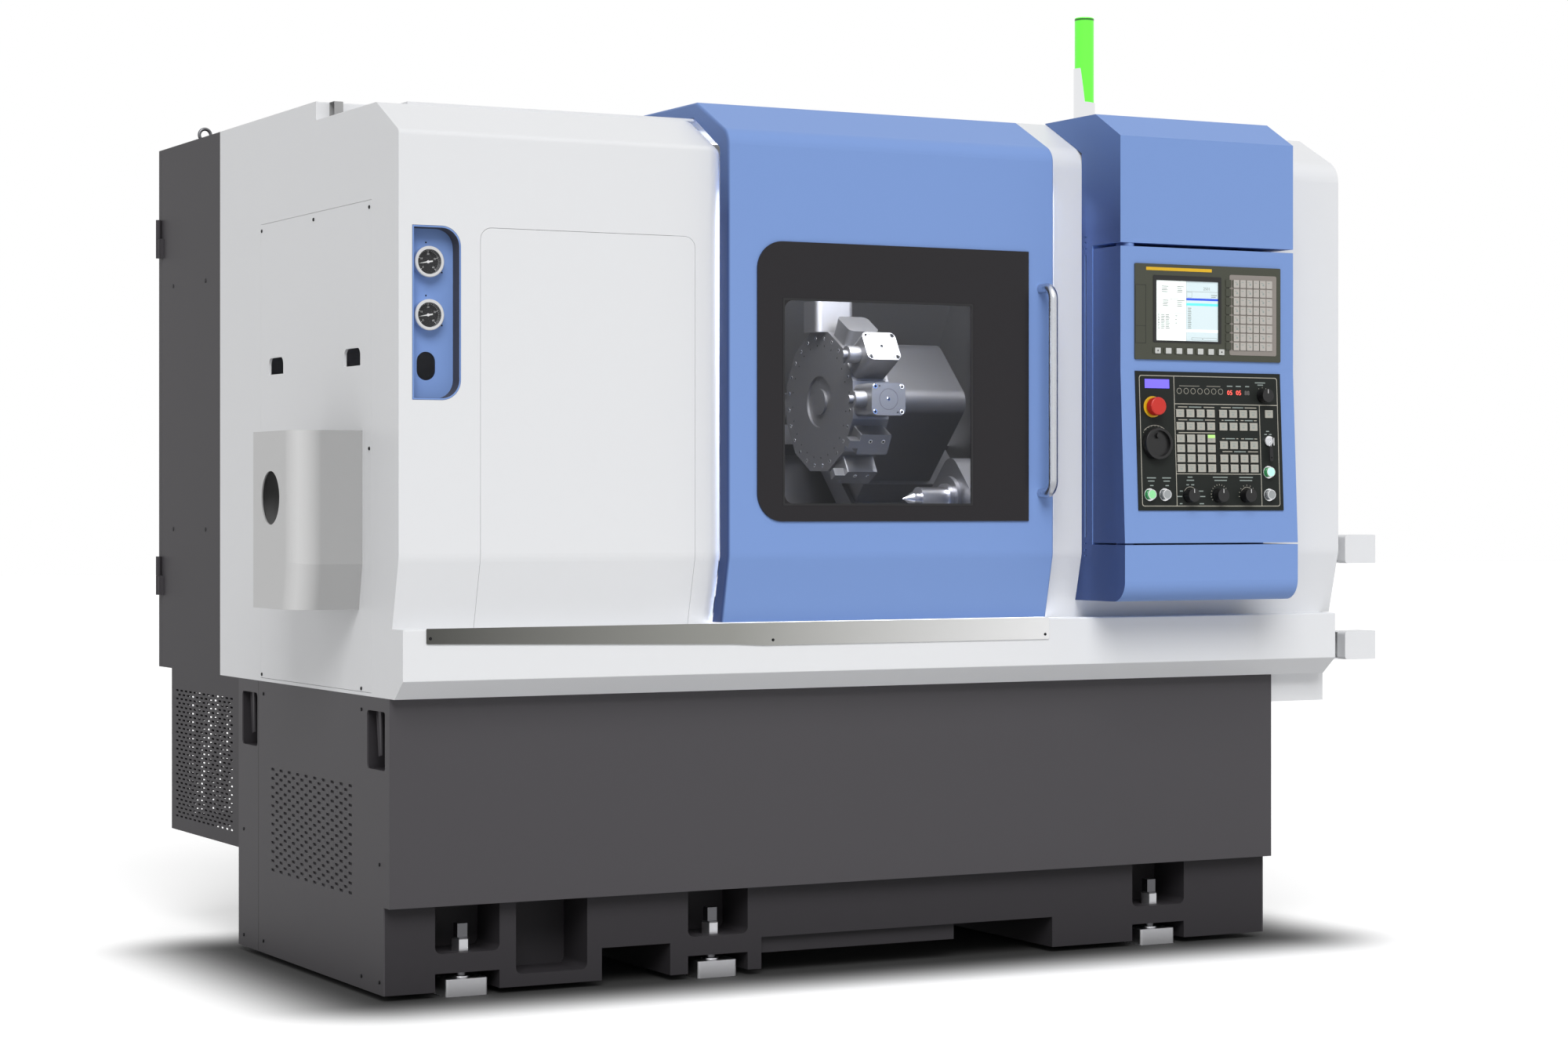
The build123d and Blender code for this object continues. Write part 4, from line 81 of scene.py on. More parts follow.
# %% Camera
LENS = 75.42
SENSOR = 36
AZIMUTH = -27.91
SHIFT = -0.01025
EYE = place(-2405.2, -6194.7, 1008.1)
FARTHEST = 60
camera_data = bpy.data.cameras.new("camera")
camera = bpy.data.objects.new("camera", camera_data)
bpy.context.scene.collection.objects.link(camera)
camera.location = EYE
camera.rotation_euler = (radians(90), 0, radians(AZIMUTH))
camera_data.lens = LENS
camera_data.sensor_width = SENSOR
camera_data.shift_y = SHIFT
camera_data.clip_end = FARTHEST
bpy.context.scene.camera = camera
print("camera at", [round(v, 3) for v in camera.location])

# %% [markdown]
# Colours are written as a screen shows them. The renderer wants light amounts,
# so one function turns each hex value into those.

# %% Colours
def rgb(code):
    """A hex colour as the amounts of light that the renderer mixes."""
    values = [int(code[start:start + 2], 16) / 255 for start in (1, 3, 5)]
    light = [v / 12.92 if v <= 0.04045 else ((v + 0.055) / 1.055) ** 2.4 for v in values]
    return (*light, 1.0)


print("white sheet reflects", round(rgb("#E4E5E7")[0], 2))

# %% [markdown]
# A material is a small web of nodes. One function adds a node, sets what it is
# told and ties it to the nodes that feed it.

# %% Nodes
def add_node(tree, kind, sockets=None, links=None, **settings):
    """A node with its settings, its socket values and its incoming links."""
    made = tree.nodes.new(kind)
    for name, value in settings.items():
        setattr(made, name, value)
    for name, value in (sockets or {}).items():
        made.inputs[name].default_value = value
    for name, source in (links or {}).items():
        tree.links.new(source, made.inputs[name])
    return made


def new_material(name, colour, roughness, metallic=0.0, **sockets):
    """A material with one surface shader, returned with its node tree and shader."""
    made = bpy.data.materials.new(name)
    made.use_nodes = True
    shader = made.node_tree.nodes["Principled BSDF"]
    values = {"Base Color": rgb(colour), "Roughness": roughness, "Metallic": metallic}
    for socket, value in {**values, **sockets}.items():
        shader.inputs[socket].default_value = value
    return made, made.node_tree, shader


print("materials before the first finish:", len(bpy.data.materials))

# %% [markdown]
# The covers are folded steel with powder coat: plastic powder baked on, which
# leaves a dull sheen and a skin like very fine orange peel. The real peel is
# about a millimetre across, and a noise drawn a little coarser, so that it shows,
# bends the light.

# %% Powder coat
def peel(tree, shader, grain_mm, height_mm):
    """Bends the light by a fine noise of a real grain size and height."""
    where = add_node(tree, "ShaderNodeTexCoord")
    grain = add_node(tree, "ShaderNodeTexNoise", {"Scale": 1 / (grain_mm * MM), "Detail": 2.0},
                     {"Vector": where.outputs["Object"]})
    bump = add_node(tree, "ShaderNodeBump", {"Strength": 1.0, "Distance": height_mm * MM},
                    {"Height": grain.outputs["Fac"]})
    tree.links.new(bump.outputs["Normal"], shader.inputs["Normal"])


def powder_coat(name, colour, sheen, roughness=0.42, grain_mm=2.4, height_mm=0.02):
    """Baked powder paint in one colour; sheen is how much it mirrors."""
    made, tree, shader = new_material(name, colour, roughness, 0.0,
                                      **{"Specular IOR Level": sheen})
    peel(tree, shader, grain_mm, height_mm)
    return made


WHITE_COAT = powder_coat("powder_coat_white", "#E6E7E9", 0.35)
BLUE_COAT = powder_coat("powder_coat_blue_painted_flank_shade", "#7E9BD4", 0.12, 0.45)
END_COAT = powder_coat("textured_coat_grey_painted_flank_light", "#A8A8A8", 0.2, 0.6, 2.0, 0.12)
DARK_COAT = powder_coat("powder_coat_graphite", "#4A484B", 0.25, 0.5, 1.6, 0.04)
CABINET_COAT = powder_coat("powder_coat_slate", "#434144", 0.15, 0.5, 1.6, 0.04)
CAST_COAT = powder_coat("painted_cast_iron", "#353336", 0.2, 0.55, 3.0, 0.10)
print("coats:", [made.name for made in bpy.data.materials])

# %% [markdown]
# Two of the coats carry painted light on faces that look left: painted shade makes the blue much
# deeper there, and a painted highlight makes the grey paler. The blend reads the direction of
# the face itself, so it stays in place in every view, and it fades towards the roof.

# %% Painted shade and light on the left faces of a coat
FLANK_TURN = (-0.05, -0.75)
FLANK_FADE = (1.62, 1.9)
FLANK_LEAST = 0.3


def shade_flank(material, front, painted_flank):
    """Paints a second colour into a coat on faces that look left: painted shade where it is
    darker, painted light where it is paler.
    """
    tree = material.node_tree
    shader = tree.nodes["Principled BSDF"]
    surface = add_node(tree, "ShaderNodeNewGeometry")
    parts = add_node(tree, "ShaderNodeSeparateXYZ", None, {"Vector": surface.outputs["Normal"]})
    leaning = add_node(tree, "ShaderNodeMapRange",
                       {"From Min": FLANK_TURN[0], "From Max": FLANK_TURN[1]},
                       {"Value": parts.outputs["X"]})
    where = add_node(tree, "ShaderNodeSeparateXYZ", None,
                     {"Vector": surface.outputs["Position"]})
    fading = add_node(tree, "ShaderNodeMapRange",
                      {"From Min": FLANK_FADE[0], "From Max": FLANK_FADE[1],
                       "To Min": 1.0, "To Max": FLANK_LEAST},
                      {"Value": where.outputs["Z"]})
    amount = add_node(tree, "ShaderNodeMath", None,
                      {0: leaning.outputs["Result"], 1: fading.outputs["Result"]},
                      operation="MULTIPLY")
    blend = add_node(tree, "ShaderNodeMix", None, {0: amount.outputs["Value"]},
                     data_type="RGBA")
    blend.inputs[6].default_value = rgb(front)
    blend.inputs[7].default_value = rgb(painted_flank)
    tree.links.new(blend.outputs[2], shader.inputs["Base Color"])


# Painted shade deepens the blue on faces that look left; painted light makes the grey paler
# there.
shade_flank(BLUE_COAT, "#7F9DD6", "#3A4C7A")
shade_flank(END_COAT, "#A2A2A2", "#D2D2D2")
print("second tone on", BLUE_COAT.name, "and", END_COAT.name)

# %% [markdown]
# Bare steel shows how it was worked. A brushed strip has long hair lines, drawn
# coarser than real ones so that they show. A ground shaft and a zinc plated bolt
# are bright and a little uneven. Metals reflect their own colour, and keep the
# default index of refraction.

# %% Steel
LINE_SMOOTHER = 0.07
LINE_ROUGHER = 0.1


def brushed(name, colour, roughness, stretch, line_mm=0.8):
    """Steel with hair lines along one axis; stretch squeezes the noise across it."""
    made, tree, shader = new_material(name, colour, roughness, 1.0)
    where = add_node(tree, "ShaderNodeTexCoord")
    squeeze = add_node(tree, "ShaderNodeMapping", {"Scale": stretch},
                       {"Vector": where.outputs["Object"]})
    lines = add_node(tree, "ShaderNodeTexNoise", {"Scale": 1 / (line_mm * MM), "Detail": 2.0},
                     {"Vector": squeeze.outputs["Vector"]})
    spread = add_node(tree, "ShaderNodeMapRange",
                      {"To Min": roughness - LINE_SMOOTHER, "To Max": roughness + LINE_ROUGHER},
                      {"Value": lines.outputs["Fac"]})
    tree.links.new(spread.outputs["Result"], shader.inputs["Roughness"])
    return made


def plain_metal(name, colour, roughness):
    """Plated or ground metal with only a faint unevenness."""
    made, tree, shader = new_material(name, colour, roughness, 1.0)
    peel(tree, shader, 2.0, 0.01)
    return made


ALONG_X = (0.02, 1.0, 1.0)
ALONG_Z = (1.0, 1.0, 0.02)
TRACK_STEEL_PAINTED_REFLECTION = brushed("brushed_stainless_strip_painted_reflection", "#B9B9B4", 0.34, ALONG_X)
HANDLE_STEEL = brushed("brushed_stainless_tube", "#C9CCD2", 0.26, ALONG_Z)
GUARD_STEEL = brushed("stainless_guard_sheet", "#8F8F90", 0.42, ALONG_Z, 1.5)
SLIDE_IRON = plain_metal("milled_cast_iron", "#77777A", 0.45)
SPINDLE_STEEL = plain_metal("ground_steel", "#B4B4B8", 0.28)
TURRET_STEEL = plain_metal("nickel_plated_steel", "#838385", 0.55)
BOLT_ZINC = plain_metal("zinc_plated_steel", "#DADADD", 0.3)
BOLT_GREY = plain_metal("phosphated_steel", "#6F6F72", 0.4)
CHROME = plain_metal("polished_chrome", "#E8E9EB", 0.08)
SCREW_BLACK = plain_metal("black_oxide_steel", "#1B1B1D", 0.45)
print("metals:", [made.name for made in bpy.data.materials if made.name.endswith("steel")])

# %% [markdown]
# The long strip of the door track carries a painted reflection: it is painted dark at its left
# end and bright at its right, as it mirrors a dark room at one end and a bright one at the
# other. A colour ramp along its length, set by three places in millimetres, gives it those
# tones, and the hair lines give it the look of brushed steel.

# %% Painted reflection along the track strip
# Places and tones of the painted reflection along the track.
TRACK_PLACES = (50, 740, 1528)
TRACK_REFLECTION_TONES = ("#5A5A57", "#A2A29D", "#FAFAFA")
track_tree = TRACK_STEEL_PAINTED_REFLECTION.node_tree
spot = add_node(track_tree, "ShaderNodeTexCoord")
axes = add_node(track_tree, "ShaderNodeSeparateXYZ", None, {"Vector": spot.outputs["Object"]})
along = add_node(track_tree, "ShaderNodeMapRange",
                 {"From Min": place(TRACK_PLACES[0], 0, 0).x,
                  "From Max": place(TRACK_PLACES[2], 0, 0).x}, {"Value": axes.outputs["X"]})
painted_reflection_tones = add_node(track_tree, "ShaderNodeValToRGB", None, {"Fac": along.outputs["Result"]})
painted_reflection_tones.color_ramp.elements.new((TRACK_PLACES[1] - TRACK_PLACES[0])
                              / (TRACK_PLACES[2] - TRACK_PLACES[0]))
for stop, painted_tone in zip(painted_reflection_tones.color_ramp.elements, TRACK_REFLECTION_TONES):
    stop.color = rgb(painted_tone)
track_tree.links.new(painted_reflection_tones.outputs["Color"],
                     track_tree.nodes["Principled BSDF"].inputs["Base Color"])
print("tones along the track:", len(TRACK_REFLECTION_TONES))

# %% [markdown]
# Plastics are not metals: they keep their colour and add a white sheen. Moulded
# ABS has a fine grain, a printed window frame is smooth, a dome lamp lets light
# through. The panes are clear, so they are mostly see-through with a sheen.

# %% Plastic, glass and light
def plastic(name, colour, roughness, **sockets):
    """Moulded plastic with a faint grain."""
    made, tree, shader = new_material(name, colour, roughness, **sockets)
    peel(tree, shader, 1.0, 0.01)
    return made


def glowing(name, colour, strength, roughness=0.3):
    """A lit surface such as a screen, a number display or a lamp."""
    return new_material(name, colour, roughness, 0.0, **{"Emission Color": rgb(colour),
                                                         "Emission Strength": strength})[0]


def clear_pane(name, colour, alpha):
    """A smooth pane that is mostly see-through; alpha is how much of it shows."""
    return new_material(name, colour, 0.02, Alpha=alpha)[0]


WINDOW_PRINT = plastic("black_printed_glass", "#232124", 0.2, **{"Specular IOR Level": 0.25})
DISPLAY_ABS = plastic("moulded_abs_olive", "#484A40", 0.5, **{"Specular IOR Level": 0.3})
PANEL_FILM = plastic("printed_polyester_film", "#232624", 0.42, **{"Specular IOR Level": 0.15})
KNOB_PLASTIC = plastic("moulded_phenolic_black", "#121213", 0.35)
KEY_PALE = plastic("moulded_key_pale", "#C9CBC8", 0.4)
STOP_RED = plastic("moulded_signal_red", "#C8281C", 0.28)
RING_YELLOW = plastic("printed_yellow", "#E3B51F", 0.4)
PRINT_WHITE = plastic("printed_white", "#D8D8D8", 0.5)
PRINT_BLACK = plastic("printed_black", "#151515", 0.5)
BUTTON_GREEN = glowing("lit_green_cap", "#3F9A5E", 0.25)
BUTTON_SILVER = plastic("moulded_cap_silver", "#9FA3A5", 0.25)
LAMP_GREEN = glowing("green_polycarbonate", "#5FE33A", 0.55, 0.2)
NEEDLE_WHITE = plastic("enamelled_needle_white", "#F2F2F2", 0.4)
DIAL_BLACK = plastic("enamelled_dial_black", "#1C1D1F", 0.5)
RUBBER = plastic("moulded_rubber_black", "#18181A", 0.7)
PANE = clear_pane("clear_polycarbonate", "#2A2C2E", 0.15)
GAUGE_PANE = clear_pane("clear_gauge_glass", "#101112", 0.03)
print("plastics and panes ready")

# %% [markdown]
# The solids that are already right keep their shape and only get a finish. A
# table says which, so that a solid without a finish is noticed at once.

# %% Finish of the solids
FINISHES = {
    "bed_casting": CAST_COAT, "levelling_pads": BOLT_ZINC, "jack_bolts": BOLT_GREY,
    "base_front_panel": DARK_COAT, "base_side_panels": DARK_COAT, "skirt_tray": WHITE_COAT,
    "left_side_panel": WHITE_COAT, "side_hatch": WHITE_COAT, "spindle_end_cover": END_COAT,
    "left_cover": WHITE_COAT, "spindle_access_panel": WHITE_COAT, "gauge_tray": BLUE_COAT,
    "gauge_cases": CHROME, "upper_needle": NEEDLE_WHITE, "lower_needle": NEEDLE_WHITE,
    "right_cover": WHITE_COAT, "right_side_panel": WHITE_COAT, "rear_hood": WHITE_COAT,
    "door_track": WHITE_COAT, "track_plate": TRACK_STEEL_PAINTED_REFLECTION, "door_shell": BLUE_COAT,
    "window_panel": WINDOW_PRINT, "window_glass": PANE, "door_handle": HANDLE_STEEL,
    "station_housing": BLUE_COAT, "swing_box": BLUE_COAT, "display_unit": DISPLAY_ABS,
    "operator_panel": PANEL_FILM, "stop_button": STOP_RED, "handwheel": KNOB_PLASTIC,
    "override_knob": KNOB_PLASTIC, "mode_selector": KNOB_PLASTIC,
    "feed_selector": KNOB_PLASTIC, "speed_selector": KNOB_PLASTIC, "key_switch": CHROME,
    "power_on_button": BUTTON_GREEN, "power_off_button": BUTTON_SILVER,
    "cycle_start_button": BUTTON_GREEN, "feed_hold_button": BUTTON_SILVER,
    "cabinet_shell": CABINET_COAT, "cabinet_door": CABINET_COAT, "main_switch": STOP_RED,
    "lifting_eyes": BOLT_GREY, "slotted_guard": DARK_COAT, "lamp_holder": CHROME,
    "lamp_lens": LAMP_GREEN, "end_brackets": WHITE_COAT, "chamber_guard": GUARD_STEEL,
    "slant_bed": SLIDE_IRON, "headstock": SLIDE_IRON, "spindle_shaft": SPINDLE_STEEL,
    "chuck_body": SPINDLE_STEEL, "chuck_jaws": SPINDLE_STEEL, "saddle": SLIDE_IRON,
    "cross_slide": SLIDE_IRON, "turret_disc": TURRET_STEEL, "tool_holders": TURRET_STEEL,
    "tailstock": SLIDE_IRON, "quill": SPINDLE_STEEL, "live_center": SPINDLE_STEEL,
}
for name, solid in nodes.items():
    solid.data.materials.clear()
    solid.data.materials.append(FINISHES[name])
print("finished solids:", len(FINISHES), "left over:", set(nodes) - set(FINISHES))

# %% [markdown]
# A studio for a pale product has a pale floor and a soft, even light. The sky
# lights all sides. One wide sun from the front left and above makes the front
# brighter than the side and gives the soft shadow under the base.

# %% Studio
SKY_LEVEL = 0.37
SUN_LEVEL = 2.1
SUN_SPREAD = radians(35)
SUN_PATH = Vector((0.37, 0.93, -0.9))
bpy.context.scene.view_settings.view_transform = "Standard"
world = bpy.data.worlds.new("studio")
bpy.context.scene.world = world
world.use_nodes = True
sky = world.node_tree
sky.nodes.clear()
path = add_node(sky, "ShaderNodeLightPath")
direct = add_node(sky, "ShaderNodeMath", None, {0: path.outputs["Is Camera Ray"],
                                                1: path.outputs["Is Transmission Ray"]},
                  operation="MAXIMUM")
seen = add_node(sky, "ShaderNodeMath", None, {0: direct.outputs["Value"],
                                              1: path.outputs["Is Glossy Ray"]},
                operation="MAXIMUM")
level = add_node(sky, "ShaderNodeMapRange", {"To Min": SKY_LEVEL, "To Max": 1.0},
                 {"Value": seen.outputs["Value"]})
shine = add_node(sky, "ShaderNodeBackground", {"Color": rgb("#FFFFFF")},
                 {"Strength": level.outputs["Result"]})
add_node(sky, "ShaderNodeOutputWorld", None, {"Surface": shine.outputs["Background"]})

sun_data = bpy.data.lights.new("sun", "SUN")
sun_data.energy = SUN_LEVEL
sun_data.angle = SUN_SPREAD
sun = bpy.data.objects.new("sun", sun_data)
sun.rotation_euler = SUN_PATH.to_track_quat("-Z", "Y").to_euler()
bpy.context.scene.collection.objects.link(sun)
print("sky at", SKY_LEVEL, "and sun at", SUN_LEVEL)

# %% [markdown]
# The floor is nearly white. Close to the base a soft shadow is painted into its colour: the
# shade where little light comes in under a heavy casting. The distance to the foot of the base
# decides how much. Where it is pale, the floor also gives a little light to the camera alone, so
# it looks white; in the painted shadow that light fades out, so the shadow on it stays.

# %% Floor with a painted shadow
PAINTED_SHADOW_REACH = 0.36
FLOOR_GLOW = 0.42
FLOOR_PAINTED_SHADOW = "#2A2A2A"
FLOOR_PALE = "#E8E8E8"
BASE_LENGTH = 2188
BASE_LOW = place(0, 90, 0)
BASE_HIGH = place(BASE_LENGTH, 1000, 0)
FLOOR, floor_tree, floor_shader = new_material("studio_floor_painted_shadow", FLOOR_PALE, 0.9)
floor_shader.inputs["Emission Color"].default_value = rgb("#FFFFFF")
where = add_node(floor_tree, "ShaderNodeNewGeometry")
axes = add_node(floor_tree, "ShaderNodeSeparateXYZ", None, {"Vector": where.outputs["Position"]})


def floor_math(operation, first, second):
    """One sum on the floor, from two numbers or outputs."""
    made = add_node(floor_tree, "ShaderNodeMath", operation=operation)
    for slot, value in enumerate((first, second)):
        if isinstance(value, float):
            made.inputs[slot].default_value = value
        else:
            floor_tree.links.new(value, made.inputs[slot])
    return made.outputs["Value"]


outside = []
for axis, low, high in zip("XY", BASE_LOW, BASE_HIGH):
    from_middle = floor_math("SUBTRACT", axes.outputs[axis], (low + high) / 2)
    beyond = floor_math("SUBTRACT", floor_math("MAXIMUM", from_middle, floor_math(
        "MULTIPLY", from_middle, -1.0)), (high - low) / 2)
    beyond = floor_math("MAXIMUM", beyond, 0.0)
    outside.append(floor_math("MULTIPLY", beyond, beyond))
distance = floor_math("SQRT", floor_math("ADD", *outside), 0.0)
# The painted shadow: the floor's colour runs from dark at the base to pale beyond its reach, and
# its light for the camera fades with it.
outside_painted_shadow = add_node(floor_tree, "ShaderNodeMapRange", {"From Max": PAINTED_SHADOW_REACH},
                  {"Value": distance}, interpolation_type="SMOOTHSTEP").outputs["Result"]
painted_tone = add_node(floor_tree, "ShaderNodeMix", None, {0: outside_painted_shadow}, data_type="RGBA")
painted_tone.inputs[6].default_value = rgb(FLOOR_PAINTED_SHADOW)
painted_tone.inputs[7].default_value = rgb(FLOOR_PALE)
floor_tree.links.new(painted_tone.outputs[2], floor_shader.inputs["Base Color"])
floor_path = add_node(floor_tree, "ShaderNodeLightPath")
glow = floor_math("MULTIPLY", floor_math("MULTIPLY", outside_painted_shadow, outside_painted_shadow),
                  floor_math("MULTIPLY", floor_path.outputs["Is Camera Ray"], FLOOR_GLOW))
floor_tree.links.new(glow, floor_shader.inputs["Emission Strength"])
bpy.ops.mesh.primitive_plane_add(size=80, location=(0, 0, -0.0005))
floor = bpy.context.object
floor.name = "studio_floor_painted_shadow"
floor.data.materials.append(FLOOR)
print("the floor darkens within", PAINTED_SHADOW_REACH, "m of the base")

# %% [markdown]
# Inside, a work lamp under the roof lights the chamber, as on such machines.

# %% Work lamp
LAMP_POWER = 32
LAMP_PATH = Vector((0.05, 0.55, -1))
lamp_data = bpy.data.lights.new("work_lamp", "AREA")
lamp_data.shape = "RECTANGLE"
lamp_data.size = 0.7
lamp_data.size_y = 0.25
lamp_data.energy = LAMP_POWER
work_lamp = bpy.data.objects.new("work_lamp", lamp_data)
work_lamp.location = place(1180, 110, 1760)
work_lamp.rotation_euler = LAMP_PATH.to_track_quat("-Z", "Y").to_euler()
work_lamp.visible_camera = False
bpy.context.scene.collection.objects.link(work_lamp)
print("work lamp of", LAMP_POWER, "watts in the chamber")

# %% [markdown]
# The small things below are drawn in millimetres, on a little frame that lies on
# the face they belong to. The first tools give closed outlines as plain lists of
# corners, which are easy to read and to change.

# %% Outlines
def rounded(x0, x1, y0, y1, radius=0.0, steps=4):
    """The corners of a rectangle, each rounded in a few steps."""
    if not radius:
        return [(x0, y0), (x1, y0), (x1, y1), (x0, y1)]
    middles = ((x1 - radius, y1 - radius, 0), (x0 + radius, y1 - radius, 90),
               (x0 + radius, y0 + radius, 180), (x1 - radius, y0 + radius, 270))
    return [(x + radius * cos(radians(start + 90 * step / steps)),
             y + radius * sin(radians(start + 90 * step / steps)))
            for x, y, start in middles for step in range(steps + 1)]


def bar(x, y, length, height, radius=0.0):
    """A rectangle or a slot about its middle."""
    return rounded(x - length / 2, x + length / 2, y - height / 2, y + height / 2, radius, 3)


def round_hole(x, y, radius, steps=28):
    """A circle as a closed outline."""
    return [(x + radius * cos(2 * pi * step / steps), y + radius * sin(2 * pi * step / steps))
            for step in range(steps)]


print("corners of a round hole:", len(round_hole(0, 0, 1)))

# %% [markdown]
# A plate is an outline with holes, given a thickness. A filled curve finds the
# holes by itself. Where nothing has a hole, each outline is made a little tile of
# its own, which may also lie over its neighbour.

# %% Plates and tiles
def plate(outlines, thick, at):
    """A plate from closed outlines, one inside another being a hole."""
    curve = bpy.data.curves.new("outline", "CURVE")
    curve.dimensions = "2D"
    curve.fill_mode = "BOTH"
    curve.extrude = thick / 2
    for points in outlines:
        line = curve.splines.new("POLY")
        line.points.add(len(points) - 1)
        for corner, (x, y) in zip(line.points, points):
            corner.co = (x, y, 0, 1)
        line.use_cyclic_u = True
    holder = bpy.data.objects.new("outline", curve)
    mesh = bpy.data.meshes.new_from_object(holder)
    bpy.data.objects.remove(holder)
    bpy.data.curves.remove(curve)
    mesh.transform(at @ Matrix.Translation((0, 0, thick / 2)))
    return mesh


def patches(outlines, thick, at):
    """Many thin flat shapes without holes, each a little tile."""
    tiles = bmesh.new()
    for points in outlines:
        foot = [tiles.verts.new((x, y, 0)) for x, y in points]
        top = [tiles.verts.new((x, y, thick)) for x, y in points]
        tiles.faces.new(top)
        for one in range(len(points)):
            other = (one + 1) % len(points)
            tiles.faces.new((foot[one], foot[other], top[other], top[one]))
    mesh = bpy.data.meshes.new("tiles")
    tiles.to_mesh(mesh)
    tiles.free()
    mesh.transform(at)
    return mesh


print("plates and tiles ready")

# %% [markdown]
# A turned part is a profile of radius and height, carried round, just as it comes
# off a lathe. Screw heads, rings and collars are all made so, with a small broken
# edge that catches the light.

# %% Turned parts
def lathe(profile, at, steps=40):
    """A closed profile of (radius, height) pairs carried round the outward line."""
    solid = bmesh.new()
    rings = [[solid.verts.new((r * cos(2 * pi * s / steps), r * sin(2 * pi * s / steps), h))
              for r, h in profile] for s in range(steps)]
    for now, after in zip(rings, rings[1:] + rings[:1]):
        for one in range(len(profile)):
            other = (one + 1) % len(profile)
            solid.faces.new((now[one], after[one], after[other], now[other]))
    bmesh.ops.remove_doubles(solid, verts=solid.verts, dist=0.001)
    bmesh.ops.recalc_face_normals(solid, faces=solid.faces)
    mesh = bpy.data.meshes.new("turned")
    solid.to_mesh(mesh)
    solid.free()
    mesh.transform(at)
    return mesh


def peg(radius, height, at, edge=0.3):
    """A round head with a broken edge."""
    return lathe([(0, 0), (radius, 0), (radius, height - edge), (radius - edge, height),
                  (0, height)], at, 24)


def ring(inner, outer, low, high, at, edge=0.3, steps=40):
    """A ring with broken outer edges."""
    return lathe([(inner, low), (outer, low), (outer, high - edge), (outer - edge, high),
                  (inner, high)], at, steps)


print("turned parts ready")

# %% [markdown]
# Many small meshes are joined to one piece, so that it rides on its body as one.
# Gentle bends are shaded smooth, and edges sharper than thirty degrees stay crisp.

# %% One piece from its meshes
CRISP = radians(30)


def smooth_folds(mesh):
    """Shades gentle bends smoothly and keeps sharp edges sharp."""
    mesh.shade_smooth()
    mesh.set_sharp_from_angle(angle=CRISP)


def piece(name, parts, body, replaces=()):
    """One object from pairs of a mesh and its material, riding on a body."""
    joined = bmesh.new()
    made = bpy.data.meshes.new(name)
    for mesh, material in parts:
        if material.name not in made.materials:
            made.materials.append(material)
        start = len(joined.faces)
        joined.from_mesh(mesh)
        joined.faces.ensure_lookup_table()
        for face in joined.faces[start:]:
            face.material_index = made.materials.find(material.name)
        bpy.data.meshes.remove(mesh)
    joined.to_mesh(made)
    joined.free()
    smooth_folds(made)
    thing = bpy.data.objects.new(name, made)
    bpy.context.scene.collection.objects.link(thing)
    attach(thing, body)
    if replaces:
        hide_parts(*replaces)


# %% [markdown]
# A side sheet is drawn by its depth and height, a front by its length and height.
# Each kind of face has its own little frame.

# %% Faces to draw on
def on_side(x):
    """Frame of a side sheet: depth, height, and the length as thickness."""
    return facing(place(x, 0, 0), (1, 0, 0))


def on_left(x, y, z):
    """Frame on a face that looks left, centred on a point."""
    return facing(place(x, y, z), (-1, 0, 0))


def on_front(y):
    """Frame of an upright face: length, height, and out to the operator."""
    return facing(place(0, y, 0), (0, -1, 0))


def on_front_at(x, y, z):
    """Frame on a face that looks at the operator, centred on a point."""
    return facing(place(x, y, z), (0, -1, 0))


print("frames for the sides and the front ready")

# %% [markdown]
# The side sheets of the base are laser cut: a field of staggered slots lets the
# warm air out on the left, and two mouths on each side take the lifting hooks.
# The solid has fewer slots, so both sheets are drawn again here.

# %% Side sheets of the base
SHEET_THICK = 3.0
BASE_OUTLINE = [(51.8, 192), (84.4, 192), (84.4, 12), (1000, 12), (1000, 618), (51.8, 618)]
LIFT_PLACES = (74, 869)
LIFT_MOUTHS = [rounded(start, start + 105, 470, 590, 10) for start in LIFT_PLACES]


def staggered(columns, rows, left, right, low, high, size):
    """Two grids of slots, the second set half a pitch off."""
    wide, tall = (right - left) / (columns - 1), (high - low) / (rows - 1)
    spots = [(left + wide * column, low + tall * row)
             for row in range(rows) for column in range(columns)]
    spots += [(left + wide * (column + 0.5), low + tall * (row + 0.5))
              for row in range(rows - 1) for column in range(columns - 1)]
    return [bar(x, y, size[0], size[1], size[1] / 2 - 0.1) for x, y in spots]


GRILLE = staggered(10, 12, 277, 764, 203, 426, (22, 6))
piece("base_side_sheets", [
    (plate([BASE_OUTLINE] + LIFT_MOUTHS + GRILLE, SHEET_THICK, on_side(0)), DARK_COAT),
    (plate([BASE_OUTLINE] + LIFT_MOUTHS, SHEET_THICK, on_side(BASE_LENGTH)), DARK_COAT),
], "machine", ["base_side_panels"])
print("slots in the grille:", len(GRILLE))

# %% [markdown]
# The guard under the cabinet is a sheet punched all over and folded round three
# sides, so daylight shows through it. It is drawn again with all its slots.

# %% Punched guard
GUARD_SHEET = 2.5
GUARD_FOOT = 232
GUARD_SLOTS = staggered(13, 16, 52, 459, 34, 335, (20, 4.5))
GUARD_RIM = rounded(0, 502, 0, 386)
REAR_RIM = rounded(0, 520, 0, 386)
side_wall = facing(place(0, 1000, GUARD_FOOT), (1, 0, 0))
right_wall = facing(place(517.5, 1000, GUARD_FOOT), (1, 0, 0))
rear_wall = facing(place(0, 1502, GUARD_FOOT), (0, -1, 0))
piece("punched_guard", [
    (plate([GUARD_RIM] + GUARD_SLOTS, GUARD_SHEET, side_wall), CABINET_COAT),
    (plate([GUARD_RIM], GUARD_SHEET, right_wall), CABINET_COAT),
    (plate([REAR_RIM] + GUARD_SLOTS, GUARD_SHEET, rear_wall), CABINET_COAT),
], "machine", ["slotted_guard"])
print("slots in each guard wall:", len(GUARD_SLOTS))

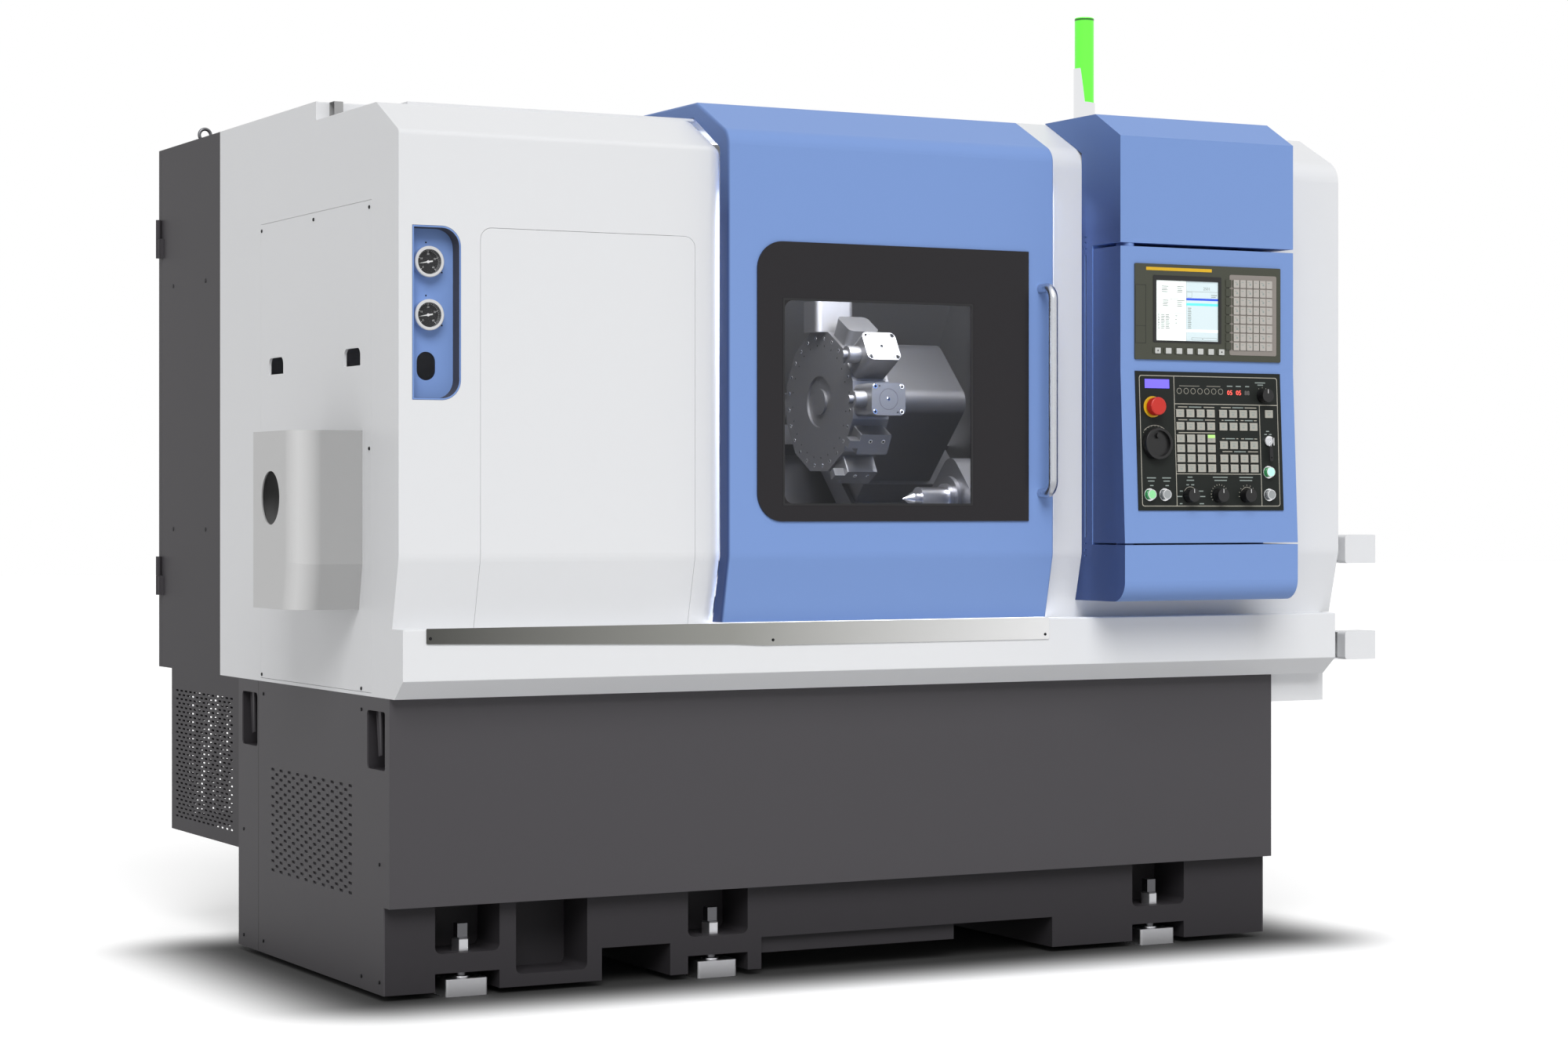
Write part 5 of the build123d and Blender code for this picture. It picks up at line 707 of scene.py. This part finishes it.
# %% [markdown]
# Small button head screws hold the sheets. They are blackened steel with a hex
# socket. The cabinet side has larger rubber plugs in its wall holes.

# %% Screws of the sheets
def screw_meshes(at, radius=4.0, proud=2.0):
    """A button head and the dark hexagon in it."""
    socket = plate([round_hole(0, 0, radius * 0.45, 6)], 0.1,
                   at @ Matrix.Translation((0, 0, proud)))
    return [(peg(radius, proud, at, proud * 0.6), SCREW_BLACK), (socket, PRINT_BLACK)]


BASE_SCREWS = ((827.8, 590), (210.7, 589), (827.8, 38.5), (210.7, 38), (107, 278), (107, 38),
               (963.3, 277), (963.3, 37))
HATCH_SCREWS = ((838.4, 1623), (500, 1623), (165, 1623), (165, 1127), (838, 633), (211, 632))
CABINET_PLUGS = ((1490, 1539), (1242, 1537), (1490, 953.5), (1242, 954))
TRACK_SCREWS = ((58, 742), (836, 725), (1518, 724.6))
TRACK_FACE = -26.3
side_screws = []
for y, z in BASE_SCREWS + HATCH_SCREWS:
    side_screws += screw_meshes(on_left(0, y, z))
for y, z in CABINET_PLUGS:
    side_screws.append((peg(5, 1.2, on_left(0, y, z)), RUBBER))
for x, z in TRACK_SCREWS:
    side_screws += screw_meshes(on_front_at(x, TRACK_FACE, z), 3.2, 1.2)
piece("sheet_screws", side_screws, "machine")
print("screws:", len(BASE_SCREWS + HATCH_SCREWS + TRACK_SCREWS))

# %% [markdown]
# Numbers and marks are printed, so they are a tenth of a millimetre thick. A
# number is a text curve turned to a mesh, and a mark is a thin bar that points
# away from the middle of its dial.

# %% Printed numbers and marks
PRINT_THICK = 0.1


def label(words, size, at, x, y):
    """Flat printed words centred on a spot of a face."""
    text = bpy.data.curves.new("print", "FONT")
    text.body = words
    text.size = size
    text.extrude = PRINT_THICK / 2
    text.align_x = "CENTER"
    text.align_y = "CENTER"
    text.resolution_u = 2
    holder = bpy.data.objects.new("print", text)
    mesh = bpy.data.meshes.new_from_object(holder)
    bpy.data.objects.remove(holder)
    bpy.data.curves.remove(text)
    mesh.transform(at @ Matrix.Translation((x, y, PRINT_THICK / 2)))
    return mesh


def tick(at, angle, near, far, wide):
    """A radial mark, its angle in degrees from up, to the right."""
    return patches([rounded(-wide / 2, wide / 2, near, far)], PRINT_THICK,
                   at @ Matrix.Rotation(radians(-angle), 4, "Z"))


print("print is", PRINT_THICK, "mm thick")

# %% [markdown]
# Each pressure gauge has a black dial with white marks from 0 to 40, a turned
# white bezel and a flat glass. The dial runs clockwise over 270 degrees, with a
# long mark and a number at every tenth step.

# %% Pressure gauges
GAUGE_SPOTS = ((72, 1503.6), (72, 1396))
DIAL_DEPTH = 22
DIAL_STEPS = 40
SWEEP = 270
for number, (x, z) in enumerate(GAUGE_SPOTS):
    dial = on_front_at(x, DIAL_DEPTH, z)
    parts = [(plate([round_hole(0, 0, 25.3, 48)], 0.2, dial), DIAL_BLACK)]
    marks = dial @ Matrix.Translation((0, 0, 0.2))
    for step in range(DIAL_STEPS + 1):
        angle = -SWEEP / 2 + SWEEP * step / DIAL_STEPS
        long_mark = step % 10 == 0
        near, wide = (19.5, 0.9) if long_mark else (21.5, 0.4)
        parts.append((tick(marks, angle, near, 24, wide), PRINT_WHITE))
        if long_mark:
            parts.append((label(str(step), 5.2, marks, 15.8 * sin(radians(angle)),
                                15.8 * cos(radians(angle))), PRINT_WHITE))
    parts.append((ring(25.4, 31.6, -1, 1.6, on_front_at(x, 14, z), 1.4, 64), PRINT_WHITE))
    parts.append((plate([round_hole(0, 0, 25.4, 48)], 0.6, on_front_at(x, 15.5, z)), GAUGE_PANE))
    for angle in (0, 120, 240):
        spot = on_front_at(x + 40 * sin(radians(angle)), 34, z + 40 * cos(radians(angle)))
        parts += screw_meshes(spot, 1.7, 0.8)
    piece(f"gauge_face_{number + 1}", parts, "machine")
print("gauges:", len(GAUGE_SPOTS))

# %% [markdown]
# A dark strip on the upper, right and lower wall of the recess is painted shade: the pale walls
# there stand in the shade of the recess.

# %% Painted shade in the recess
def arc(x, y, radius, start, end, steps=8):
    """Points along an arc, angles in degrees."""
    return [(x + radius * cos(radians(start + (end - start) * step / steps)),
             y + radius * sin(radians(start + (end - start) * step / steps)))
            for step in range(steps + 1)]


def recess_path(inset):
    """The inside of the recess from upper left to lower left."""
    radius = 38.2 - inset
    return ([(33, 1572.2 - inset)] + arc(93, 1534, radius, 90, 0)
            + arc(93, 1265, radius, 0, -90) + [(33, 1226.8 + inset)])


# Painted shade: a dark strip where the walls of the recess are in shade.
piece("recess_painted_shade", [
    (plate([recess_path(0) + recess_path(0.5)[::-1]], 33, on_front(33.8)), DARK_COAT),
], "machine")
print("shade painted in the recess")

# %% [markdown]
# The display is a moulded frame with a sunken screen, a row of soft keys below
# it and a field of silver keys at its right. What is lit gives a little light of
# its own, so it reads as lit in every view.

# %% Tones of the display
SCREEN_PALE = glowing("lit_screen_white", "#E6EDEA", 0.55)
SCREEN_MIST = glowing("lit_screen_mist", "#C3D2D6", 0.45)
SCREEN_GREY = glowing("lit_screen_print", "#8E9995", 0.1)
SCREEN_BLUE = glowing("lit_screen_blue", "#1F49C9", 0.5)
SCREEN_CYAN = glowing("lit_screen_cyan", "#5FD8D6", 0.5)
KEY_SILVER = plastic("moulded_key_silver", "#B9B4AE", 0.28)
PLATE_SILVER = plastic("printed_key_plate", "#8E8781", 0.3)
print("materials so far:", len(bpy.data.materials))

# %% [markdown]
# Print on the screen and on the panels is drawn as thin tiles. A frame is four
# bars, and rows of small bars give the rhythm of fine lines of print.

# %% Fine print
FINE = 0.15
ROW_TALL = 1.6


def flat(outlines, at, lift=0.0, thick=FINE):
    """Thin printed shapes that lie a little above their face."""
    return patches(outlines, thick, at @ Matrix.Translation((0, 0, lift)))


def frame_line(x0, x1, y0, y1, wide):
    """Four printed lines round a rectangle."""
    return [rounded(x0, x1, y0, y0 + wide), rounded(x0, x1, y1 - wide, y1),
            rounded(x0, x0 + wide, y0 + wide, y1 - wide),
            rounded(x1 - wide, x1, y0 + wide, y1 - wide)]


def text_rows(x, top, rows, row_pitch, lengths):
    """Small bars in rows, their lengths taken in turn."""
    return [rounded(x, x + lengths[row % len(lengths)], top - row * row_pitch - ROW_TALL,
                    top - row * row_pitch) for row in range(rows)]


print("fine print is", FINE, "mm thick")

# %% [markdown]
# The screen shows value blocks and program lines at the left, and a paler field
# with a blue and a cyan bar at the right. Each is a thin plate of light, so it
# stays sharp from close by.

# %% Screen
GLASS_DEPTH = -158
COVER_DEPTH = -160
SCREEN_MIDDLE = 1804.5
SCREEN_RIGHT = 1890.2
SCREEN_BARS = ((1466.8, 1471.5, SCREEN_BLUE), (1455, 1460.5, SCREEN_CYAN),
               (1396, 1402, SCREEN_PALE))
SCREEN_ROWS = ((1739, 1497, 4, 4, (18, 14, 16, 15)), (1780, 1497, 4, 4, (18, 12, 14, 14)),
               (1742, 1466, 4, 4, (15, 14, 12, 14)), (1780, 1466, 4, 4, (20, 14, 12, 13)),
               (1728, 1434, 9, 3.7, (5, 4, 6)), (1737, 1434, 9, 3.7, (9, 10, 8)),
               (1749, 1434, 9, 3.7, (10, 9, 11)), (1775, 1432, 3, 8, (6, 4, 5)),
               (1809, 1450, 12, 4, (9, 8, 9)), (1872, 1480, 2, 4, (16, 12)))
glass = on_front(GLASS_DEPTH)
screen_print = [rounded(1804.3, 1804.9, 1376, 1509), rounded(1764, 1764.5, 1438, 1500),
                rounded(1728, 1804, 1468, 1468.5), rounded(1728, 1804, 1437, 1437.5),
                rounded(1804.5, 1890, 1486, 1486.6), rounded(1728, 1804, 1500, 1500.4)]
screen_print += frame_line(1806, 1820, 1473, 1485, 0.5)
screen_print += frame_line(1819, 1848, 1378, 1384, 0.6)
screen_print += frame_line(1850, 1888, 1378, 1384, 0.6)
for rows in SCREEN_ROWS:
    screen_print += text_rows(*rows)
screen = [(flat([rounded(1723.5, SCREEN_MIDDLE, 1376, 1509)], glass), SCREEN_PALE),
          (flat([rounded(SCREEN_MIDDLE, SCREEN_RIGHT, 1376, 1509)], glass), SCREEN_MIST)]
for low, high, colour in SCREEN_BARS:
    screen.append((flat([rounded(SCREEN_MIDDLE, SCREEN_RIGHT, low, high)], glass, FINE), colour))
screen += [
    (label("2501", 9.5, glass @ Matrix.Translation((0, 0, FINE)), 1860, 1493), SCREEN_GREY),
    (flat(screen_print, glass, FINE), SCREEN_GREY),
    (plate([rounded(1714.5, 1897.5, 1371.5, 1520, 2), rounded(1723.2, 1890.6, 1375.6, 1509.3)],
           0.9, on_front(COVER_DEPTH)), PRINT_BLACK),
]
print("shapes on the screen:", len(screen_print))

# %% [markdown]
# A plain yellow strip sits above the screen and a card door is scribed at its
# left. The soft keys stand in a row below it, and the silver keys fill a plate at
# its right, each with a small sign.

# %% Keys of the display
KEY_PROUD = 2.3
SOFT_PITCH = 28.6
SOFT_HEIGHT = 1353
cover = on_front(COVER_DEPTH)
soft_keys = [1719.2 + 7 + number * SOFT_PITCH for number in range(7)]
entry_keys = [(1938 + column * 18 + 0.3, 1367 + row * 20) for row in range(8)
              for column in range(6)]
key_signs = [bar(x - 1.5, z + 3.5, 6, 1.3) for x, z in entry_keys]
key_signs += [bar(x + 1.5, z - 1, 4, 4) for x, z in entry_keys[::2]]
screen += [
    (flat([rounded(1696, 1872, 1530.5, 1537.5)], cover, 0, 0.4), RING_YELLOW),
    (flat([rounded(1920.5, 2049, 1347, 1527, 4)], cover, 0, 0.5), PLATE_SILVER),
    (flat(frame_line(1668, 1695.5, 1368.5, 1498, 0.8)
          + [rounded(1669, 1694.5, 1406.5, 1407.3)], cover), PRINT_BLACK),
    (flat([bar(x, SOFT_HEIGHT, 14.6, 12.6, 1) for x in soft_keys], cover, 0, KEY_PROUD),
     KEY_PALE),
    (flat([round_hole(x, SOFT_HEIGHT, 1.8, 12) for x in (soft_keys[0], soft_keys[-1])], cover,
          KEY_PROUD), PRINT_BLACK),
    (flat([bar(x, z, 15.6, 17.6, 1.5) for x, z in entry_keys], cover, 0, KEY_PROUD),
     KEY_SILVER),
    (flat(key_signs, cover, KEY_PROUD), SCREEN_GREY),
]
piece("display_face", screen, "swinging_station")
print("keys on the display:", len(soft_keys) + len(entry_keys))

# %% [markdown]
# The operator panel leans back a little. A control is placed on it by its length
# and height on the machine, and one function lays that place on the leaning face.

# %% Places on the operator panel
LEAN = atan2(18, 383)
DESK_LEFT = 1631
DESK_TOP = 1310
DESK = facing(place(DESK_LEFT, -156, DESK_TOP), (0, -cos(LEAN), sin(LEAN)))
FILM = 3.0


def desk(x, z):
    """A place on the leaning panel from its length and height on the machine."""
    return x - DESK_LEFT, (z - DESK_TOP) / cos(LEAN)


def on_desk(x, z, lift=FILM):
    """Frame on the leaning panel, centred on a control."""
    return DESK @ Matrix.Translation((*desk(x, z), lift))


def desk_box(x0, x1, z0, z1, radius=0.0):
    """A rectangle of the panel print."""
    return rounded(desk(x0, 0)[0], desk(x1, 0)[0], desk(0, z0)[1], desk(0, z1)[1], radius)


print("the panel leans by", round(LEAN / radians(1), 1), "degrees")

# %% [markdown]
# The panel is a printed film with a pale line round each group of controls. Thin
# pale lines stand beside the names of the groups, and the fine print itself is
# drawn as small grey bars. Seven small lamps at the top are drawn as rings.

# %% Print of the operator panel
PANEL_LINE = plastic("printed_line_beige", "#B9B5A9", 0.5)
LINE = 1.5
panel_border = [desk_box(1677, 2051, 1008, 1298, 6),
                desk_box(1677 + LINE, 2051 - LINE, 1008 + LINE, 1298 - LINE, 5)]
panel_lines = [desk_box(1769, 1769 + LINE, 1009.5, 1296.5),
               desk_box(1999.5, 1999.5 + LINE, 1009.5, 1235),
               desk_box(1770.5, 2049.5, 1235, 1235 + LINE),
               desk_box(1770.5, 1999.5, 1079.5, 1079.5 + LINE)]
LABEL_ROWS = ((1779, 1804, 1229), (1848, 1877, 1229), (1779, 1803, 1200.5), (1851, 1878, 1200.5),
              (1779, 1877, 1172), (1895, 1922, 1229), (1960, 1992, 1229), (1896, 1901, 1200.5),
              (1935, 1940, 1200.5), (1948, 1956, 1200.5), (1984, 1992, 1200.5),
              (1896, 1903, 1159.5), (1935, 1940, 1159.5), (1948, 1956, 1159.5),
              (1984, 1992, 1159.5), (1896, 1923, 1130.5), (1966, 1993, 1130.5))
panel_lines += [desk_box(x0, x1, z - 0.9, z + 0.9) for x0, x1, z in LABEL_ROWS]
WORDS = ((1808, 1842, 1229), (1808, 1846, 1200.5), (1926, 1956, 1229), (1904, 1932, 1200.5),
         (1959, 1981, 1200.5), (1906, 1931, 1159.5), (1959, 1981, 1159.5), (1928, 1960, 1130.5),
         (1691, 1715, 1071), (1694, 1711, 1064), (1732, 1755, 1071), (1735, 1752, 1064),
         (1800, 1813, 1073), (1797, 1817, 1066), (1796, 1803, 1056), (1809, 1817, 1056),
         (1868, 1908, 1073), (1872, 1906, 1066), (1940, 1977, 1073), (1941, 1975, 1066),
         (1778, 1786, 1042), (1770.5, 1784, 1030), (1777, 1784, 1014), (1824, 1841, 1042),
         (1829, 1846, 1030), (1830, 1842, 1014), (1990, 2018, 1286), (1997, 2012, 1281),
         (2017, 2025, 1177), (2012, 2019, 1170), (2025, 2032, 1170), (1913, 1928, 1277),
         (1937, 1951, 1277), (1963, 1974, 1277), (1699, 1708, 1054), (1740, 1749, 1054))
word_bars = [desk_box(x0, x1, z - 1.1, z + 1.1) for x0, x1, z in WORDS]
lamps = [desk(1783.6 + number * 18.62, 1264.5) for number in range(7)]
rings = [round_hole(x, z, radius, 20) for x, z in lamps for radius in (6.6, 5.8)]
brackets = [desk_box(1784, 1838, 1275.4, 1276.2), desk_box(1858, 1895, 1275.4, 1276.2)]
print("bars of fine print:", len(LABEL_ROWS) + len(WORDS))

# %% [markdown]
# A printed scale runs round each knob and round the handwheel: short marks, and
# an arc where the travel is shown. A scale of marks is given by its middle, its
# two radii, its first and last angle and its count.

# %% Scales round the knobs
MARK_SCALES = ((1885, 1034, 21, 24, -120, 120, 15), (1960, 1034, 20, 23, -100, 100, 9),
               (1716, 1146, 39, 41, -50, 50, 9), (2010, 1256, 18.5, 20.5, -30, 30, 3))
ARC_SCALES = ((1716, 1146, 42, 45), (1806, 1034, 18, 70), (1960, 1034, 17.6, 70))
scales = []
for x, z, near, far, start, end, count in MARK_SCALES:
    for number in range(count):
        angle = start + (end - start) * number / (count - 1)
        scales.append((tick(on_desk(x, z), angle, near, far, 1.0), PANEL_LINE))
for x, z, radius, reach in ARC_SCALES:
    band = arc(0, 0, radius, 90 - reach, 90 + reach, 16)
    inner = arc(0, 0, radius - 1, 90 + reach, 90 - reach, 16)
    scales.append((plate([band + inner], FINE, on_desk(x, z)), PANEL_LINE))
print("marks and arcs:", len(scales))

# %% [markdown]
# The keys are pale caps in two blocks, each with small dark print, and one shows
# a green light. Above them are a violet number strip and red digits. The stop
# button has a yellow ring and the round buttons have chromed bezels.

# %% Keys and lights of the operator panel
KEY_BEIGE = plastic("moulded_key_beige", "#ADABA2", 0.4)
LCD_VIOLET = glowing("lit_lcd_violet", "#6A5CF0", 0.8)
DIGIT_RED = glowing("lit_digits_red", "#FF5B50", 1.4)
DIGIT_DIM = glowing("dim_digits", "#77706E", 0.1)
KEY_LIT = glowing("lit_key_green", "#A8DC7A", 0.5)
KEY_TOP = 5.2
KEY_PITCH = 27.5
BEZEL_TALL = 2.03
LEFT_ROWS = (1215, 1186.5, 1159, 1137, 1115, 1093)
RIGHT_ROWS = (1215, 1186.5, 1145, 1115, 1093)
LIT_KEY = (1783 + 3 * KEY_PITCH, 1159)
LONE_KEY = (2025, 1216)
BUTTONS = ((1697, 1034), (1737, 1034), (2020, 1085), (2020, 1034))
keys = [(1783 + column * KEY_PITCH, z) for column in range(4) for z in LEFT_ROWS]
keys += [(1899 + column * KEY_PITCH, z) for column in range(4) for z in RIGHT_ROWS]
spots = [desk(x + 0.2, z) for x, z in keys + [LONE_KEY]]
film = DESK @ Matrix.Translation((0, 0, FILM))
control_face = [
    (plate(panel_border + rings, FINE, film), PANEL_LINE),
    (flat(panel_lines + brackets, DESK, FILM), PANEL_LINE),
    (flat(word_bars, DESK, FILM), SCREEN_GREY),
    (flat([desk_box(1692, 1757, 1269.5, 1289.5)], DESK, FILM, 0.3), LCD_VIOLET),
    (flat([bar(x, z, 20.9, 17.4, 1) for x, z in spots], DESK, FILM, KEY_TOP - FILM), KEY_BEIGE),
    (flat([bar(x, z + 3.4, 11, 1.6) for x, z in spots]
          + [bar(x - 0.5, z - 2, 6, 3.4) for x, z in spots], DESK, KEY_TOP), SCREEN_GREY),
    (flat([bar(0, 5, 19, 7)], on_desk(*LIT_KEY, KEY_TOP + FINE)), KEY_LIT),
    (label("05", 15, film, *desk(1920.5, 1262)), DIGIT_RED),
    (label("05", 15, film, *desk(1944.5, 1262)), DIGIT_RED),
    (label("88", 14, film, *desk(1967.5, 1262)), DIGIT_DIM),
    (ring(13, 23.5, 0, BEZEL_TALL, on_desk(1711, 1228), 0.4), RING_YELLOW),
] + scales
for x, z in BUTTONS:
    control_face.append((ring(9, 14.3, 0, BEZEL_TALL, on_desk(x, z), 0.6), CHROME))
piece("control_face", control_face, "swinging_station")
print("keys on the panel:", len(spots))

# %% [markdown]
# The knobs carry a white line that shows where they point, and stand in a dark
# collar. A mark rides on its own knob, so it turns with it.

# %% Marks on the knobs
KNOB_FACE = 25.35
KNOB_MARKS = (("override_mark", "override", 2010, 1256), ("mode_mark", "mode", 1802, 1032),
              ("feed_mark", "feed", 1881, 1032), ("speed_mark", "speed", 1956, 1032))
for name, body, x, z in KNOB_MARKS:
    knob = on_desk(x, z, 0)
    piece(name, [(flat([bar(0, 9.5, 1.6, 9)], knob, KNOB_FACE), PRINT_WHITE),
                 (ring(14, 15.6, 3.4, 6, knob, 0.6), SCREW_BLACK)], body)
print("knob marks:", len(KNOB_MARKS))

# %% [markdown]
# The handwheel has a raised rim and a few pale marks on it. The key sits in a
# chromed lock and hangs down from it on a black bow with a hole for a ring.

# %% Handwheel and key
WHEEL_FACE = 19.4
BOW_LIFT = 12
wheel = on_desk(1716, 1146, 0)
wheel_marks = [(tick(wheel @ Matrix.Translation((0, 0, WHEEL_FACE)), angle, 31, 33.2, 1.6),
                PANEL_LINE) for angle in range(-40, 150, 27)]
wheel_marks.append((ring(28.9, 35.2, 19.3, 20.6, wheel, 1.0, 64), KNOB_PLASTIC))
piece("wheel_marks", wheel_marks, "wheel")
lock = on_desk(2022, 1155, 0)
piece("switch_key", [
    (ring(4, 11.6, 3.3, 9.4, lock, 1.6), CHROME),
    (plate([rounded(-4.5, 4.5, -46, -12, 3), round_hole(0, -38, 2, 12)], 3.0,
           lock @ Matrix.Translation((0, 0, BOW_LIFT))), RUBBER),
    (flat([bar(0, -8, 2, 12)], lock, 12.5, 2.0), CHROME),
], "key_lock")
print("marks on the handwheel:", len(wheel_marks) - 1)

# %% [markdown]
# Each round button ends in a cap with a chromed rim. Two caps are lit from
# inside in pale greens, and two are plain silver.

# %% Caps of the buttons
CAPS = (("green_cap", "power_on", 1697, 1034, 14.5, "button_green"),
        ("start_cap", "cycle_start", 2020, 1085, 14.5, "button_green"),
        ("silver_cap", "power_off", 1737, 1034, 14.4, "button_pale"),
        ("hold_cap", "feed_hold", 2020, 1034, 14.4, "button_pale"))
LENSES = {"green_cap": glowing("green_cap_light", "#7FC48A", 0.5),
          "start_cap": glowing("start_cap_light", "#A9E8D0", 0.5)}
for name, body, x, z, top, slot in CAPS:
    cap = on_desk(x, z, 0)
    piece(name, [(ring(0.5, 9.4, 14, top, cap, 0.3), LENSES.get(name, BUTTON_SILVER)),
                 (ring(9.5, 11.2, 13.6, 14.6, cap, 0.4), CHROME)], body)
print("caps:", len(CAPS))

# %% [markdown]
# The station swings on two chromed pins at its left. Their collars show as a
# bright disc in the gap under the hood and another above the foot.

# %% Pivot collars
PIN_X = 1657
PIN_Y = -135
COLLARS = (("upper_collar", 1582.2), ("lower_collar", 923.2))
for name, z in COLLARS:
    upright = facing(place(PIN_X, PIN_Y, z), (0, 0, 1), (0, 1, 0))
    piece(name, [(ring(10.3, 18.5, 0.2, 3.4, upright, 1.2), CHROME)], "machine")
print("collars:", len(COLLARS))

# %% [markdown]
# The door window is a pane glued into a black printed panel. A thin black rubber
# seal runs round the edge of the glass, drawn as a plate with a hole.

# %% Window seal
SEAL_WIDE = 4.5
SEAL_FACE = -44
outer_edge = rounded(850, 1320, 1010, 1450, 3)
inner_edge = rounded(850 + SEAL_WIDE, 1320 - SEAL_WIDE, 1010 + SEAL_WIDE, 1450 - SEAL_WIDE, 2)
piece("window_seal", [
    (plate([outer_edge, inner_edge], 0.6, on_front(SEAL_FACE)), RUBBER),
], "sliding_door")
print("window sealed over", SEAL_WIDE, "mm")

# %% [markdown]
# The lamp is a green dome in a bright half tube. Its top edge is darker, because
# the plastic is thick there, and the tube has a dark seam at the roof.

# %% Lamp
lamp_line = facing(place(1834, 300, 0), (0, 0, 1), (0, 1, 0))
LAMP_EDGE = plastic("green_dome_edge", "#2F7A22", 0.3)
piece("lamp_details", [
    (ring(18, 22.7, 2149, 2155.5, lamp_line, 2.4), LAMP_EDGE),
    (ring(25.1, 25.5, 1902, 1903.5, lamp_line, 0.2), SCREW_BLACK),
], "machine")
print("lamp dressed")

# %% [markdown]
# Every foot stands on a levelling screw: a grey square head above a bright lock
# nut, with a washer on the pale pad below. The solids have the screw; the bright
# nut and the washer are added here.

# %% Levelling screws
FOOT_LENGTHS = (183.7, 761, 1895.5)
FOOT_DEPTHS = (123, 961.4)
feet = []
for x in FOOT_LENGTHS:
    for y in FOOT_DEPTHS:
        upright = facing(place(x, y, 0), (0, 0, 1), (0, 1, 0))
        feet.append((ring(10, 19.5, 90.8, 116.5, upright, 2.0, 6), BOLT_ZINC))
        feet.append((ring(10.2, 19, 36.2, 39.5, upright, 0.8), BOLT_ZINC))
piece("levelling_collars", feet, "machine")
print("levelling screws:", len(feet) // 2)

# %% [markdown]
# The turret disc is drilled all round: a socket screw and a pin on both sides of
# every station. The driven tool blocks have four sunken screws at their corners,
# a centre hole and a faint turned circle. Two plain holders have two screws each.

# %% Faces of the turret
TURRET_X = 1278
TURRET_FLAT = 162.3
BLOCK_TOP = 84
HOLDER_TOP = 44
BLOCK_MIDDLE = 1325.5
disc_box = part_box("turret_disc")
hub = ((disc_box[0] + disc_box[1]) / 2 - DATUM) / MM


def sunken(at, x, y, radius):
    """A countersunk socket screw: a bright rim round a dark socket."""
    spot = at @ Matrix.Translation((x, y, 0))
    return [(ring(radius * 0.55, radius, -0.2, 0.4, spot, 0.3, 20), CHROME),
            (patches([round_hole(0, 0, radius * 0.55, 12)], 0.1, spot), SCREW_BLACK)]


def station_face(number, out):
    """Frame on top of a tool block, its middle over the middle of the disc."""
    angle = radians(30 * number)
    outward = (0, -cos(angle), sin(angle))
    reach = TURRET_FLAT + out
    middle = place(BLOCK_MIDDLE, hub.y + reach * outward[1], hub.z + reach * outward[2])
    return facing(middle, outward)


print("middle of the turret:", [round(v, 1) for v in hub])

# %% [markdown]
# Every screw is set by turning the frame of the disc, or by standing on the flat
# of its own station, so all of them ride round with the turret.

# %% Screws in their places
turret_parts = []
disc_face = on_left(TURRET_X, hub.y, hub.z)
for number in range(24):
    turn = disc_face @ Matrix.Rotation(radians(15 * number + 6), 4, "Z")
    turret_parts += sunken(turn, 0, 150, 4.5)
    turret_parts.append((patches([round_hole(5, 132, 2, 10)], 0.1, turn), SCREW_BLACK))
for number in (0, 1):
    top = station_face(number, BLOCK_TOP)
    for x in (-35, 35):
        for y in (-29, 29):
            turret_parts += sunken(top, x, y, 5.5)
    turret_parts += sunken(top, 0, 0, 4)
    turret_parts.append((ring(23.6, 24.2, 0, 0.15, top, 0.05), SCREW_BLACK))
    turret_parts.append((patches([round_hole(-24, 30, 2, 10), round_hole(24, -30, 2, 10)], 0.1,
                                 top), SCREW_BLACK))
for number in (-1, -2):
    top = station_face(number, HOLDER_TOP)
    for x in (-12, 22):
        turret_parts += sunken(top, x, 8, 5)
piece("turret_screws", turret_parts, "turret")
print("turret screws:", len(turret_parts))

# %% [markdown]
# A small grey connector box sits on the left roof.

# %% Roof box
BOX_WIDE = 20
piece("roof_box", [
    (patches([rounded(454, 485, 1834.5, 1874, 2)], BOX_WIDE, on_side(30)), END_COAT),
], "machine")
print("roof box", BOX_WIDE, "mm wide")

# %% [markdown]
# The side sheet of the base is made of two lengths that meet in an open seam.
# Behind each lifting mouth the edge of the casting shows as a tapered tongue.

# %% Seam and tongues of the base
SEAM_Y = 861.5
SEAM_WIDE = 2.5
left_face = on_left(0, 0, 0) @ Matrix.Scale(-1, 4, (1, 0, 0))
seam = rounded(SEAM_Y, SEAM_Y + SEAM_WIDE, 13, 617)
seam_parts = [(patches([seam], 0.15, left_face), PRINT_BLACK)]
for y in LIFT_PLACES:
    tongue = [(y + 42, 592), (y + 40, 500), (y + 54, 497), (y + 68, 592)]
    seam_parts.append((patches([tongue], 3, on_side(6)), DARK_COAT))
piece("base_seam", seam_parts, "machine")
print("seam at", SEAM_Y)
